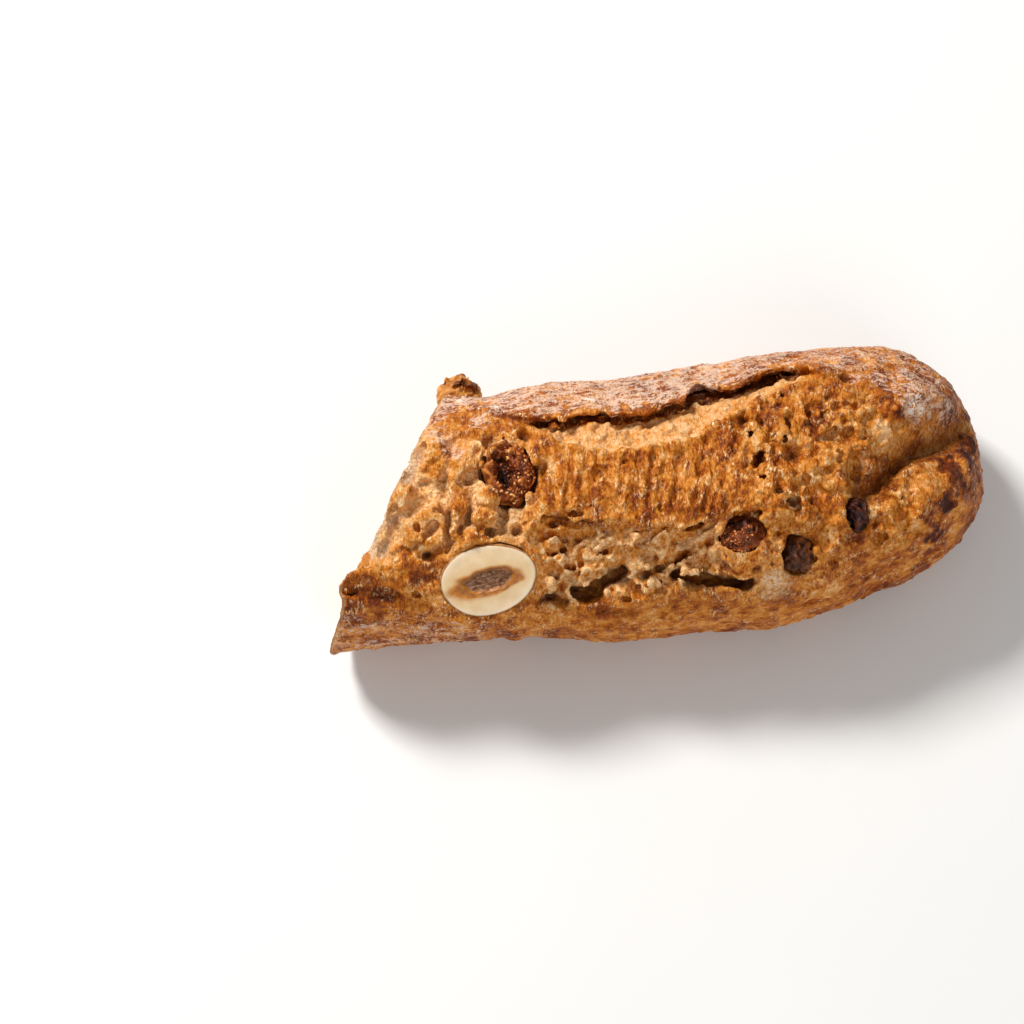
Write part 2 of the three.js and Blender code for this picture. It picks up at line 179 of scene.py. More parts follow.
# x, y, z, half length, half width, angle in the picture, depth
HOLLOWS = [(-54.5, 6.7, 42.7, 4.8, 2.1, 62, 2.6), (-55.5, 4.4, 42.8, 1.8, 1.3, 62, 3.4), (-52.5, 1.2, 42.9, 1, 0.6, 10, 2.2), (-52, -2.1, 42.7, 4.1, 1.7, 58,
        2.4), (-48.5, 0.2, 43, 3, 1.4, 84, 3), (-48, -3.3, 42.7, 2.3, 1, 80, 1.8), (-48, -8.9, 41.3, 5.1, 0.8, 86, 3.2), (-59.5, -8.3, 41.1, 3.7, 1.7, 78,
        2.8), (-62, -11.7, 39.7, 2.5, 1.3, 70, 2.2), (-52.5, -9.4, 40.9, 3, 1.5, 60, 2.4), (-55, -11.4, 40, 1.4, 0.9, 60, 2.2), (-53, -13.7, 38.8, 1.5, 1, 20,
        2.8), (-51, -12.8, 39.4, 1.5, 0.9, 30, 2.8), (-42, 2.3, 43.2, 3, 1.5, 35, 2.6), (-42, -1.7, 43.1, 2.5, 1.3, 75, 2), (-43.5, -6.6, 42.2, 2.8, 1.5, 75,
        3.4), (-45.5, -9.4, 41.2, 1.6, 0.7, 50, 2.2), (-36, -7.8, 42.2, 3.5, 1.8, 82, 5), (-33.5, -7.6, 42.3, 3.2, 2.1, 80, 3.2), (-39.5, -10.7, 41.1, 1.4,
        1.3, 0, 4.6), (-33.5, -10.9, 41.2, 0.9, 1.2, 90, 3.8), (-26, -10.4, 41.7, 1.5, 1, 20, 2.6), (-56.5, -4.7, 42.2, 3.2, 1.4, 60, 1.6), (-47.5, -12, 40,
        1.6, 0.9, 40, 1.8), (-41.5, -9.7, 41.3, 1.8, 0.9, 60, 1.6), (-45, 7, 42.8, 1.4, 0.9, 20, 1), (-42.5, -3.2, 42.9, 1.2, 0.8, 60, 1.8)]
MOATS = [(-37.5, 10.5, 42, 2.3, 1.4, 60, 3.8), (-30, 10.6, 42.3, 1.6, 1.4, 80, 3), (-28, -1.1, 43.5, 4.1, 1.4, 78, 3.2), (-29.5, -5.2, 43, 2.1, 1, 40, 2)]
PITS = [(17.5, 8.2, 44, 0.9, 1.5, 0, 2.2), (19, 4.2, 44.5, 1, 1.7, 10, 2), (20, -0.6, 44.6, 1, 2, -12, 2.8), (21, -5.3, 44.2, 1, 1, 0, 2.2), (25, 6.9, 44.1,
        1, 0.7, 0, 1.8), (28, -1.1, 44.3, 1.6, 1.7, 0, 2.4), (26.5, 0.4, 44.4, 0.9, 0.9, 0, 1.8), (24.5, -9.6, 43.1, 2.2, 1, -30, 3), (26, -11.1, 42.5, 1, 1,
        0, 2.6), (31.5, -9.3, 42.4, 1.7, 1.4, 20, 1.8), (40.4, 3.2, 43, 1.4, 2.2, 0, 2.2), (40.4, -1.4, 42.7, 0.6, 0.6, 0, 2), (45.6, 7.2, 41.8, 1.8, 0.9,
        -20, 1.2), (51.8, 5.4, 39.9, 2.1, 1.2, 10, 1.6), (-14.5, -0.1, 44, 0.9, 0.8, 0, 1), (38.5, 12.9, 42.1, 1.2, 0.9, 0, 1), (42.2, 17.3, 40.1, 1.6, 0.9,
        0, 2.2), (35, 3, 43.7, 2.8, 0.6, 22, 1.6), (37.5, -1.4, 43.2, 1.2, 1.6, 0, 1.4), (34.5, -4.5, 43.2, 1.4, 0.8, 30, 1.2), (29.5, -6.2, 43.5, 1, 1, 0,
        1.4), (18, -12.6, 42.4, 2.1, 1, 20, 2.4), (-13.5, -12.9, 41.3, 1, 0.6, 0, 2.4), (-7, -13.7, 41.3, 2.3, 0.9, 10, 2.6), (-10, -15, 40.5, 1, 0.8, 0,
        1.6), (-20.5, -8.6, 42.5, 1.4, 0.8, 0, 1.4), (-18.5, -11, 41.8, 1.2, 0.7, 0, 1.4), (-24, -10.2, 41.8, 1, 0.8, 0, 1.6), (-1, -14, 41.5, 1.2, 0.7, 0,
        1.6), (3, -17.1, 40, 1.2, 0.8, 0, 1.5), (-5.5, -16.9, 39.7, 1, 1, 0, 2), (-16, -15.9, 39.6, 1.2, 0.7, 10, 1.5), (-11.5, -16.9, 39.2, 1, 0.7, 0, 1.6),
        (-23.5, -17.3, 38.1, 1.4, 0.7, 30, 1.5), (5, -20.1, 38, 1.2, 0.7, 0, 1.6), (17, -23, 35.9, 1.4, 1, 20, 3), (12, -23.3, 35.4, 2.1, 0.6, 0, 1.8), (31,
        -18.3, 37.9, 1.4, 0.9, 20, 1.4), (34.5, -21.5, 33.7, 1.4, 0.8, 20, 1)]
FRONTPITS = [(-63, -20, 33.1, 3, 1.2, 0, 2.2), (-56, -20.2, 33.2, 1.4, 1.4, 0, 2.6), (-30.5, -23.8, 30, 0.9, 0.9, 0, 2.2)]
STRANDS = [[(-65.5, -13.6), (-62, -8.5), (-59, -2.4), (-57, 2.2), (-53.5, 9.6), (-51, 12.5)], [(-58.5, -2.7), (-56.5, 0.1), (-54.5, 1.9), (-52, 2.7), (-50.5,
        1.7), (-49.5, -1.3), (-50, -6.1), (-50.5, -10.3), (-52.5, -11.9)], [(-44, 3.6), (-45.5, 1), (-46, -3.3), (-47, -6.5), (-46.5, -9.3)], [(-56, -5.4),
        (-56.5, -8.6), (-56.5, -12.2)], [(-39.5, 3.1), (-41, -3.8), (-40, -8.1)], [(-40.5, -3.8), (-36.5, -4.5), (-33, -4.7)]]
GROOVES = [[(12, -1), (9, -6), (6.5, -11)], [(16, 3.8), (12, -4.1), (8.5, -10.8)], [(9, 4.4), (7, -2.5), (5, -8.8)], [(3, 1.6), (1.5, -4.1), (0, -9.4)], [(-2,
        3.2), (-4, -3.5), (-5, -8.8)], [(-8.5, 2.7), (-10, -2.8), (-11, -7)], [(-14.5, 4.1), (-16, -2.2), (-17.5, -7.4)], [(-20, 4.1), (-21, -1.6), (-22.5,
        -6.8)], [(21, 8.1), (23, 3), (24, -3.9)], [(31.5, 12.1), (33, 5.8), (32.5, -0)], [(38, 10.4), (39.5, 6.4)]]
FOLDS = [[(50.2, -19, 28.8), (52.3, -14.8, 32.7), (55.8, -10, 34.2), (61.1, -3.5, 33.5), (64.8, 1, 31.5)], [(57.6, -17.5, 23.6), (60.5, -13, 27.6), (63.9,
        -7.8, 28.8), (66.7, -2.2, 28.7)], [(49.8, 19.7, 37.2), (55.8, 15.2, 36.5), (62.1, 9.9, 33.8), (67.2, 6.8, 29.3)], [(56.9, 23.5, 31), (62.7, 18.7,
        29.9), (67.2, 11.4, 28.5), (69, 5.3, 27.1)], [(-17, -26, 27.2), (-6, -27.1, 26.5), (5, -28.3, 25.4), (18, -29, 25.7)], [(-25.5, -26.3, 23.8), (-12.5,
        -27.6, 22.1), (0.5, -28.7, 21.3)], [(24.5, -28.3, 26), (33.5, -26.5, 23.9), (43, -23.4, 24.7), (51, -20.1, 26.2)], [(32, -27.4, 16), (41.7, -24.5,
        14.9), (50.6, -21.9, 18.2), (58.7, -17.5, 21)], [(-71.5, -18.6, 34.5), (-60, -20.7, 32.3), (-51.5, -22.4, 30.2)], [(-71, -22.6, 28.8), (-60.5, -23.8,
        26.3), (-47.5, -24.8, 24.3)]]
UNDERLIP = [[(-27.5, -9.4, 42, 0.6), (-24, -10.9, 41.6, 0.69), (-20, -11.6, 41.5, 0.6), (-15.5, -12.6, 41.3, 0.6)], [(-12, -13, 41.4, 0.51), (-7, -13.5, 41.4,
        0.74), (-4, -13.4, 41.6, 0.6), (1.5, -14.1, 41.6, 0.51), (6, -14.2, 41.6, 0.51)]]
TORN = [[(-28.5, -23.4, 31, 0.81), (-26.5, -23.7, 30.7, 1.04), (-24.5, -24.3, 29.9, 0.81)], [(-23, -22.6, 32.8, 0.92), (-21.5, -23.3, 32.1, 1.5), (-19.5,
        -23.6, 31.7, 1.61), (-17, -22.9, 33.1, 2.07), (-15, -22.3, 34.2, 1.96), (-12.5, -21.7, 35.1, 1.5), (-10.5, -21.1, 36, 0.69)], [(-6, -22.1, 35.3, 0.6),
        (-4.5, -21.8, 35.8, 0.74), (-3, -21.2, 36.5, 0.6)], [(-0.5, -22.9, 34.9, 0.69), (1.5, -23.1, 34.9, 0.92), (5, -24, 34.1, 1.27), (8, -24.6, 33.6,
        1.61), (11.5, -25, 33.3, 1.73), (14, -25, 33.4, 1.61), (15.5, -24.8, 33.8, 0.92)]]
EAR_HOLES = [(10.6, 17.0, 40.9, 4.2, 2.2, -14, 5.0), (24.5, 19.6, 39.9, 3.8, 1.4, 18, 4.2), (31.5, 20.0, 39.4, 3.4, 0.9, 5, 3.4)]
CHIPS = [(-62.6, -8.2, 41.6, 3.4, 1.6, 62, 1.7), (-65.8, -13.6, 38.6, 2.2, 1.5, 60, 1.6), (-55.2, 9.8, 42.0, 1.8, 1.1, 60, 1.1), (-50.0, 17.5, 39.4, 2.4, 1.2, 60, 1.2)]

# fruit and nut: centre, half sizes, turn in the picture
NUT = dict(at=(-40.5, -19.3, 35.6), tilt=36.0, turn=12.0, length=21.2, width=16.0, depth=8.6, proud=1.0)
FIG_TOP = dict(at=(-34.0, 2.7, 39.9), size=(5.4, 7.4, 5.2), turn=14.0)
FIG_SIDE = dict(at=(14.6, -15.6, 38.0), size=(5.4, 4.2, 4.2))
FRUIT = dict(at=(26.2, -19.8, 34.6), size=(4.0, 4.4, 3.7))
RAISIN = dict(at=(40.2, -12.9, 36.6), size=(2.9, 3.7, 3.6))
FIG_BACK = dict(at=(-42.8, 28.1, 23.6), size=(5.2, 5.4, 5.6))
CUT_FIGS = [dict(node="fig_cut_large", s=11.0, z=25.0, size=(5.6, 8.0, 5.0), lean=16.0),
            dict(node="fig_cut_small", s=-15.0, z=14.5, size=(3.9, 4.9, 4.4), lean=-20.0),
            dict(node="fig_cut_crust", s=-14.5, z=33.0, size=(3.2, 4.6, 4.0), lean=28.0)]

# ------------------------------------------------------------------ the loaf as a distance field
GX = np.arange(-77.6, 74.6, VOX)
GY = np.arange(-32.4, 34.8, VOX)
GZ = np.arange(-1.3, 48.2, VOX)
X, Y, Z = GX[:, None, None], GY[None, :, None], GZ[None, None, :]
F32 = np.float32

def grid_noise(cell, seed):
    """smooth noise over the whole grid, unit deviation; cell is a size or one for each axis"""
    cell = np.broadcast_to(np.asarray(cell, float), (3,))
    rng = np.random.default_rng(seed)
    mats = []
    for c, L in zip((GX, GY, GZ), cell):
        t = (c - c[0]) / L + rng.random()
        i = np.floor(t).astype(int)
        f = t - i
        B = np.zeros((len(c), i.max() + 4), F32)
        for k, w in enumerate(((1 - f)**3 / 6, (3 * f**3 - 6 * f**2 + 4) / 6, (-3 * f**3 + 3 * f**2 + 3 * f + 1) / 6, f**3 / 6)):
            B[np.arange(len(c)), i + k] = w
        mats.append(B)
    R = rng.standard_normal([m.shape[1] for m in mats]).astype(F32)
    T = np.tensordot(mats[0], R, (1, 0))
    T = np.matmul(mats[1], T)
    T = np.matmul(T, mats[2].T)
    return T * F32(1.0 / T[::7, ::5, ::5].std())

phi = plain(X, Y, Z).astype(F32)
g = np.gradient(phi, VOX)
steep = phi * F32(8)
phi /= np.maximum(np.sqrt(g[0]**2 + g[1]**2 + g[2]**2), F32(0.02))
phi = np.where(phi > 0, np.maximum(phi, steep), phi)
del g, steep
np.clip(phi, -12, 12, out=phi)
base = phi.copy()                       # distance to the plain form

# maps over the top, seen from above
mx, my = GX[:, None], GY[None, :]
def map_noise(cell, seed, turn=0.0, octaves=1):
    """plan noise with a long and a short cell, turned"""
    a = math.radians(turn)
    u, v = mx * math.cos(a) + my * math.sin(a), my * math.cos(a) - mx * math.sin(a)
    return vnoise(np.stack([u.ravel(), v.ravel(), np.full(u.size, 2.7)], 1), (cell[0], cell[1], 9.0), seed, octaves).reshape(u.shape)
def fold_noise(cell, seed, turn=0.0):
    """narrow raised folds with broad troughs"""
    return np.clip(1.05 - 1.5 * np.abs(map_noise(cell, seed, turn)), -0.9, 1.05)
n2 = grid_noise((2.2, 2.2, 9), 5)[:, :, len(GZ) // 2]
n3 = grid_noise((1.1, 1.1, 9), 6)[:, :, len(GZ) // 2]
n5 = grid_noise((5.0, 5.0, 9), 7)[:, :, len(GZ) // 2]
yg = tab(GX, EAR)[:, None] + 0.32 * n2 + 0.30 * n3
yr = tab(GX, RIDGE)[:, None] + 0.25 * n2 + 0.25 * n5
yl = tab(GX, LIP)[:, None] + 0.35 * n2 + 0.3 * n5
ear = (sm(-31, -26, GX) * (1 - sm(30, 37, GX)))[:, None]
earedge = (sm(-46, -36, GX) * (1 - sm(36, 46, GX)))[:, None]
t_ear = my - yg
slope = np.clip((my - yr) / np.maximum(yg - yr, 0.8), 0, 1)          # 0 on the bloom's ridge, 1 at the slash
strip = ear * sm(-0.6, 0.4, my - yr) * (1 - sm(0.4, 1.2, t_ear))
bloom = ear * sm(-1.0, 1.6, my - yl) * (1 - sm(-0.8, 0.6, my - yr)) * (1 - sm(22, 32, GX)[:, None])
lip_on = (sm(-31, -27, GX) * (1 - sm(6, 13, GX)))[:, None]
below = lip_on * (1 - sm(-0.9, 0.4, my - yl))
coarse = lip_on * (1 - sm(-1.2, 0.2, my - yl)) * sm(-25.5, -22.5, my)
left = (1 - sm(-34, -27, GX))[:, None] * sm(-15.5, -12.5, my + 0.6 * n5) * (1 - sm(8.5, 13.5, my + 0.06 * (mx + 45) + 0.8 * n5))
right = sm(13, 21, GX)[:, None] * (1 - sm(50, 60, GX))[:, None] * sm(-23, -17, my) * (1 - sm(9, 15, my))
d_crease = line_dist((mx, my), CREASE)
crease_on = sm(36, 44, GX)[:, None]
d_low = line_dist((mx, my), LOWLIP)

D = (1.3 * bell(t_ear - 1.7, 2.1) + 0.5 * bell(t_ear - 1.1, 0.8)) * earedge * (1 - ear * (1 - sm(0.2, 1.0, t_ear)))
D = D - ear * (2.4 * slope**1.4) * (1 - sm(0.35, 1.05, t_ear))
D = D + 0.95 * bloom + 0.45 * ear * bell(my - yr + 0.9, 1.1)
D = D - 2.3 * below * sm(-26, -19, my) + 0.6 * lip_on * bell(my - yl - 0.5, 0.9)
D = D + 1.5 * bell(d_low, 1.0) - 0.7 * bell(line_dist((mx, my), [(x, y - 1.7) for x, y in LOWLIP]), 1.2)
D = D - crease_on * (4.3 * bell(d_crease, 4.4) + 2.4 * bell(d_crease, 1.6))
D = D + 1.3 * bell(line_dist((mx, my), [(66, -3), (60, -9), (54, -14)]), 4.5) + 1.1 * bell(line_dist((mx, my), [(66, 14), (60, 13), (54, 10)]), 3.6)
D = D + 0.9 * bell(line_dist((mx, my), [(58, 0), (52, -6), (47, -11)]), 2.6)
D = D + 0.25 * n5 + right * (0.30 * n2 + 0.28 * n3 + 0.34 * fold_noise((4.2, 2.2), 34, 68) + 0.30 * fold_noise((3.2, 1.8), 35, -26))
D = D + left * (0.28 * n2 + 0.20 * n3 + 0.50 * fold_noise((6.5, 2.3), 31, 60))
D = D + coarse * (0.55 * n2 + 0.60 * n3 + 0.85 * fold_noise((5.0, 1.9), 32, 18) + 0.35 * fold_noise((2.4, 1.5), 36, 70))
D = D + bloom * (0.24 * fold_noise((6.0, 1.7), 33, 94) + 0.16 * fold_noise((3.0, 1.3), 37, 80) + 0.14 * n3)
D = D + strip * (0.22 * n3 + 0.14 * n2)
for line in STRANDS:
    D = D + 0.85 * bell(line_dist((mx, my), line) + 0.12 * n2, 0.62)
for line in GROOVES:
    q = line_dist((mx, my), line) + 0.25 * n2
    D = D - 0.70 * bell(q, 0.62) + 0.32 * bell(np.abs(q) - 1.35, 0.55)
D = D + 1.0 * bell(np.hypot(mx - 27.2, my + 15.4), 2.3)
D = (D * (1 - 0.75 * sm(67, 72.5, mx))).astype(F32)

top = sm(20, 31, Z).astype(F32)
N14 = grid_noise(14, 11)
N3 = grid_noise(3.0, 12)
N15 = grid_noise(1.5, 13)
wob = (sm(1.5, 8, Z)).astype(F32)
rough = (0.16 + 0.30 * left + 0.42 * coarse + 0.22 * right + 0.10 * strip).astype(F32)[:, :, None]
phi -= D[:, :, None] * top + wob * (0.42 * N14 + (0.13 + (rough - 0.16) * top) * N3) + (0.08 + 0.6 * (rough - 0.16) * top) * wob * N15
phi = smax(phi, (X - 72.9).astype(F32), F32(1.2))

def window(c, r):
    s = []
    for k, G in enumerate((GX, GY, GZ)):
        a = int(np.searchsorted(G, c[k] - r)); b = int(np.searchsorted(G, c[k] + r))
        s.append(slice(max(a, 0), min(b, len(G))))
    return tuple(s)

def ellipsoid(c, axes, radii, w):
    P = (GX[w[0]][:, None, None] - c[0], GY[w[1]][None, :, None] - c[1], GZ[w[2]][None, None, :] - c[2])
    k0 = k1 = 0
    for a, r in zip(axes, radii):
        q = (P[0] * a[0] + P[1] * a[1] + P[2] * a[2]) / r
        k0 = k0 + q * q
        k1 = k1 + q * q / (r * r)
    k0, k1 = np.sqrt(k0), np.sqrt(k1)
    return (k0 * (k0 - 1) / np.maximum(k1, 1e-6)).astype(F32)

def carve(c, axes, radii, k=0.35, ragged=0.0):
    w = window(c, max(radii) + 2.0)
    if min(s.stop - s.start for s in w) < 2:
        return
    d = ellipsoid(c, axes, radii, w)
    if ragged:
        d = d + F32(ragged) * (N3[w] + 0.6 * N15[w])
    phi[w] = smax(phi[w], -d, k)

def dig(f, k=0.35, ragged=0.22, sink=0.0, lean=None):
    """an elongated hollow in the surface"""
    p, n = settle(f[:3])
    t1, t2 = along(n, f[5])
    down = n if lean is None else n + np.array(lean)
    down = down / np.linalg.norm(down)
    t1 = t1 - down * (t1 @ down); t1 /= np.linalg.norm(t1)
    t2 = np.cross(down, t1)
    carve(p - down * sink, (t1, t2, down), (f[3], f[4], f[6]), k, ragged)

def wrinkle(path, press, width):
    """presses a shallow furrow into the surface along a path, with a swelling on either side"""
    pts = np.array([settle(q)[0] for q in path])
    lo, hi = pts.min(0) - 3 * width, pts.max(0) + 3 * width
    w = tuple(slice(max(int(np.searchsorted(G, a)), 0), min(int(np.searchsorted(G, b)), len(G))) for G, a, b in zip((GX, GY, GZ), lo, hi))
    q = line_dist((GX[w[0]][:, None, None], GY[w[1]][None, :, None], GZ[w[2]][None, None, :]), pts) + 0.30 * N3[w]
    phi[w] += (press * bell(q, width) - 0.45 * press * bell(q - 1.9 * width, width)).astype(F32)
for path in FOLDS:
    wrinkle(path, 0.62, 1.0)
for f in HOLLOWS:
    dig(f[:3] + (f[3] * 1.08, f[4] * 1.15, f[5], f[6] * 0.98), k=0.95, ragged=0.34)
for f in MOATS:
    dig(f[:6] + (f[6] * 0.85,), k=1.2, ragged=0.25)
for f in PITS:
    dig(f[:3] + (f[3] * 1.2, f[4] * 1.2, f[5], f[6] * 0.75), k=1.0, ragged=0.26)
dig((27.6, -0.3, 44.3, 2.1, 2.2, 0, 3.0), k=0.9, ragged=0.25)
for f in FRONTPITS:
    dig(f, k=0.4, ragged=0.3, lean=(0, 0, -0.35))

def crevice(path, inward, deep, k=0.35, ragged=0.45, steps=6):
    """a torn slot that follows a path (x, y, z, half width) over the surface and runs inward"""
    pts = [settle(q[:3])[0] for q in path]
    inward = np.array(inward) / np.linalg.norm(inward)
    lo = np.min(pts, 0) - 5 + np.minimum(inward * deep, 0)
    hi = np.max(pts, 0) + 5 + np.maximum(inward * deep, 0)
    w = tuple(slice(max(int(np.searchsorted(G, a)), 0), min(int(np.searchsorted(G, b)), len(G))) for G, a, b in zip((GX, GY, GZ), lo, hi))
    P = (GX[w[0]][:, None, None], GY[w[1]][None, :, None], GZ[w[2]][None, None, :])
    d = None
    for (a, ra), (b, rb) in zip([(p, q[3]) for p, q in zip(pts, path)][:-1], [(p, q[3]) for p, q in zip(pts, path)][1:]):
        ab = b - a
        for sft in np.linspace(-0.15, 1.0, steps):
            o = a + inward * deep * sft
            t = np.clip(sum((P[i] - o[i]) * ab[i] for i in range(3)) / (ab @ ab), 0, 1)
            r = (ra + (rb - ra) * t) * (1 - 0.45 * max(sft, 0) ** 2)
            q = np.sqrt(sum((P[i] - o[i] - t * ab[i]) ** 2 for i in range(3))) - r
            d = q if d is None else np.minimum(d, q)
    d = d + ragged * (0.7 * N3[w] + 0.45 * N15[w])
    phi[w] = smax(phi[w], -d.astype(F32), k)
INWARD = [((0.0, 0.50, -0.86), 2.6), ((0.0, 0.46, -0.89), 4.6), ((0.0, 0.46, -0.89), 2.4), ((0.0, 0.46, -0.89), 4.2)]
for path, (inward, deep) in zip(TORN, INWARD):
    crevice([q[:3] + (q[3] * 1.0 + 0.15,) for q in path], inward, deep + 0.6, k=0.8, ragged=0.62)
for path in UNDERLIP:
    crevice(path, (0.0, 0.85, -0.45), 2.4, ragged=0.35, steps=4)

# the slash: a narrow gap that runs in under the ear
w = window((0, 17, 40), 48)
w = (w[0], slice(int(np.searchsorted(GY, 6)), int(np.searchsorted(GY, 30))), slice(int(np.searchsorted(GZ, 28)), len(GZ)))
dep = -base[w]
wide = (4.0 * sm(5.6, 7.6, GX) * (1 - sm(11, 17.5, GX)) + 1.7 * sm(20, 22.5, GX) * (1 - sm(26, 32, GX)) + 0.2 * np.sin(GX * 0.9))[w[0]][:, None, None]
tq = t_ear[w[0], w[1]][:, :, None]
front_wall = 0.30 + 0.28 * N15[w] + 0.20 * np.maximum(dep - 2.4, 0)
rear_wall = 0.84 + 0.5 * wide + 0.26 * N3[w] + 0.15 * N15[w] + 0.42 * np.clip(dep + 1.2, 0, 6)
gap = np.maximum(np.maximum(front_wall - tq, tq - rear_wall) * 0.9, dep - (4.0 - 1.3 * (1 - sm(2, 8, GX)))[w[0]][:, None, None])
gap = np.maximum(gap, (1 - ear[w[0]][:, :, None]) * 6 - 0.5)
phi[w] = smax(phi[w], -gap.astype(F32), 0.3)
for f in EAR_HOLES:
    dig(f, k=0.4, ragged=0.35, lean=(0, -0.25, 0))

# small open pores of torn crumb
rng = np.random.default_rng(21)
def scatter_pores(n, mask, rmin, rmax, deep):
    cum = np.cumsum(mask.ravel())
    for _ in range(n):
        i = int(np.searchsorted(cum, rng.random() * cum[-1]))
        x, y = GX[i // mask.shape[1]], GY[i % mask.shape[1]]
        p, nn = settle((x, y, 41.0 - 0.016 * y * y))
        r = rmin + (rmax - rmin) * rng.random() ** 2
        a = rng.random() * 180
        t1, t2 = along(nn, a)
        ratio = 1 + 0.9 * rng.random()
        carve(p - nn * 0.25, (t1, t2, nn), (r * ratio, r, r * deep), 0.25, 0.12)
scatter_pores(210, coarse + 1e-9, 0.5, 1.9, 1.5)
scatter_pores(120, left + 1e-9, 0.45, 1.1, 1.2)
scatter_pores(80, right + 1e-9, 0.5, 1.5, 0.9)
scatter_pores(40, bloom + 1e-9, 0.35, 0.9, 0.8)

# beds of the fruit and the nut
I3 = np.eye(3)
def turned(deg):
    a = math.radians(deg)
    return np.array([[math.cos(a), -math.sin(a), 0], [math.sin(a), math.cos(a), 0], [0, 0, 1]])
def bed(spec, grow, off=(0, 0, 0), tall=0.0, ragged=0.26):
    r = [s + grow for s in spec["size"]]
    r[2] += tall
    carve(np.array(spec["at"]) + np.array(off) + np.array([0, 0, tall]), turned(spec.get("turn", 0)).T, tuple(r), 0.8, ragged)
bed(FIG_TOP, 0.75, (0.3, -0.4, 0))
bed(FIG_SIDE, -0.10, (0, 0, 0), 2.0)
bed(FRUIT, -0.5, (-0.1, -0.5, 0), 0.6, 0.5)
bed(RAISIN, 0.25, (0, 0, 0), 3.5)
bed(FIG_BACK, -0.15)
ta = math.radians(NUT["tilt"])
NUT_M = np.array([[1, 0, 0], [0, math.cos(ta), -math.sin(ta)], [0, math.sin(ta), math.cos(ta)]])
tz = math.radians(NUT["turn"])
NUT_R = NUT_M @ np.array([[math.cos(tz), -math.sin(tz), 0], [math.sin(tz), math.cos(tz), 0], [0, 0, 1]])
NUT_C = np.array(NUT["at"]) + NUT_M @ np.array([0, 0, NUT["proud"]])
w = window(NUT_C, 19)
P = [G - c for G, c in zip((GX[w[0]][:, None, None], GY[w[1]][None, :, None], GZ[w[2]][None, None, :]), NUT_C)]
nu, nv, nw = (sum(P[i] * NUT_R[i, k] for i in range(3)) for k in range(3))
ring = np.sqrt((nu / (NUT["length"] / 2))**2 + (nv / (NUT["width"] / 2))**2)
cover = np.where(ring < 1.9, nw + 0.25 - 3.2 * np.maximum(ring - 1.0, 0) - 6.0 * np.maximum(ring - 1.4, 0), -9) + 0.10 * N15[w]
phi[w] = smax(phi[w], cover.astype(F32), F32(0.9))
pad = np.maximum(np.maximum(nw + 0.75 + 3.2 * np.maximum(ring - 1.02, 0), (ring - 1.28) * 8.5), nv - 2.5) + 0.16 * N3[w] + 0.10 * N15[w]
phi[w] = -smax(-phi[w], -np.maximum(pad, -nw - 9.0).astype(F32), F32(1.6))
carve(NUT_C, NUT_R.T, (NUT["length"] / 2 - 0.05, NUT["width"] / 2 - 0.05, NUT["depth"] - 0.2), 0.3, 0.0)

# the knife cut, and the pores that it opened
def torn(y, z):
    """how far the front crust sticks out past the cut, and the crumb beside it falls short, mm"""
    return 2.3 * bell(y + 17.3, 2.4) * sm(27, 33, z) - 1.9 * bell(y + 11.6, 2.9) * sm(33, 38, z) - 0.9 * bell(y + 5.5, 2.5) * sm(37, 41, z)
plane = (cut_depth(X, Y, Z) + torn(Y, Z)).astype(F32)
phi = smax(phi, -plane - F32(0.05) * N15, F32(0.25))
for f in CHIPS:
    dig(f, k=0.4, ragged=0.35)
def fig_axes(f):
    a = math.radians(f["lean"])
    e1 = math.cos(a) * CUT_S + math.sin(a) * CUT_U
    e2 = -math.sin(a) * CUT_S + math.cos(a) * CUT_U
    return e1, e2
for f in CUT_FIGS:
    e1, e2 = fig_axes(f)
    carve(cut_point(f["s"], f["z"]), (e1, e2, CUT_N), (f["size"][0] - 0.35, f["size"][1] - 0.35, f["size"][2] - 0.5), 0.2, 0.0)
rng = np.random.default_rng(33)
def face_pores(n, rmin, rmax, edge):
    made = 0
    while made < n:
        s, z = rng.uniform(-33, 36), rng.uniform(2.0, 42.0)
        p = cut_point(s, z)
        b = float(plain(*p))
        if b > -0.08 or (edge and b < -0.42) or any((s - f["s"])**2 / (f["size"][0] + 1.2)**2 + (z - f["z"])**2 / (f["size"][1] + 1.2)**2 < 1 for f in CUT_FIGS):
            continue
        r = rmin + (rmax - rmin) * rng.random() ** 2.2
        a = rng.random() * math.pi
        t1 = math.cos(a) * CUT_S + math.sin(a) * CUT_U
        t2 = np.cross(CUT_N, t1)
        carve(p - CUT_N * 0.1, (t1, t2, CUT_N), (r * (1 + 1.1 * rng.random()), r, r * (0.9 + 0.6 * rng.random())), 0.2, 0.1)
        made += 1
face_pores(9, 1.6, 2.8, True)
face_pores(10, 1.2, 2.0, False)
face_pores(60, 0.7, 1.3, False)
face_pores(420, 0.38, 0.75, False)

# the front corner keeps a solid core, and thin fins on the torn top come off
w = window((-66.5, -20.5, 32.5), 8.5)
away = np.sqrt((GX[w[0]][:, None, None] + 66.5)**2 + (GY[w[1]][None, :, None] + 20.5)**2 + (GZ[w[2]][None, None, :] - 32.5)**2)
phi[w] = np.minimum(phi[w], (np.maximum(base[w], -plane[w]) + 1.3 + 0.25 * N3[w] + 1.2 * np.maximum(away - 5.5, 0)).astype(F32))
def opened(f, r):
    """takes off whatever is thinner than 2 r + 1 cells"""
    for fn in (np.maximum, np.minimum):
        for ax in range(3):
            g = f.copy()
            for s in range(1, r + 1):
                a, b = [slice(None)] * 3, [slice(None)] * 3
                a[ax], b[ax] = slice(s, None), slice(None, -s)
                a, b = tuple(a), tuple(b)
                g[b] = fn(g[b], f[a])
                g[a] = fn(g[a], f[b])
            f = g
    return f
w = (slice(0, int(np.searchsorted(GX, -34))), slice(None), slice(int(np.searchsorted(GZ, 36)), len(GZ)))
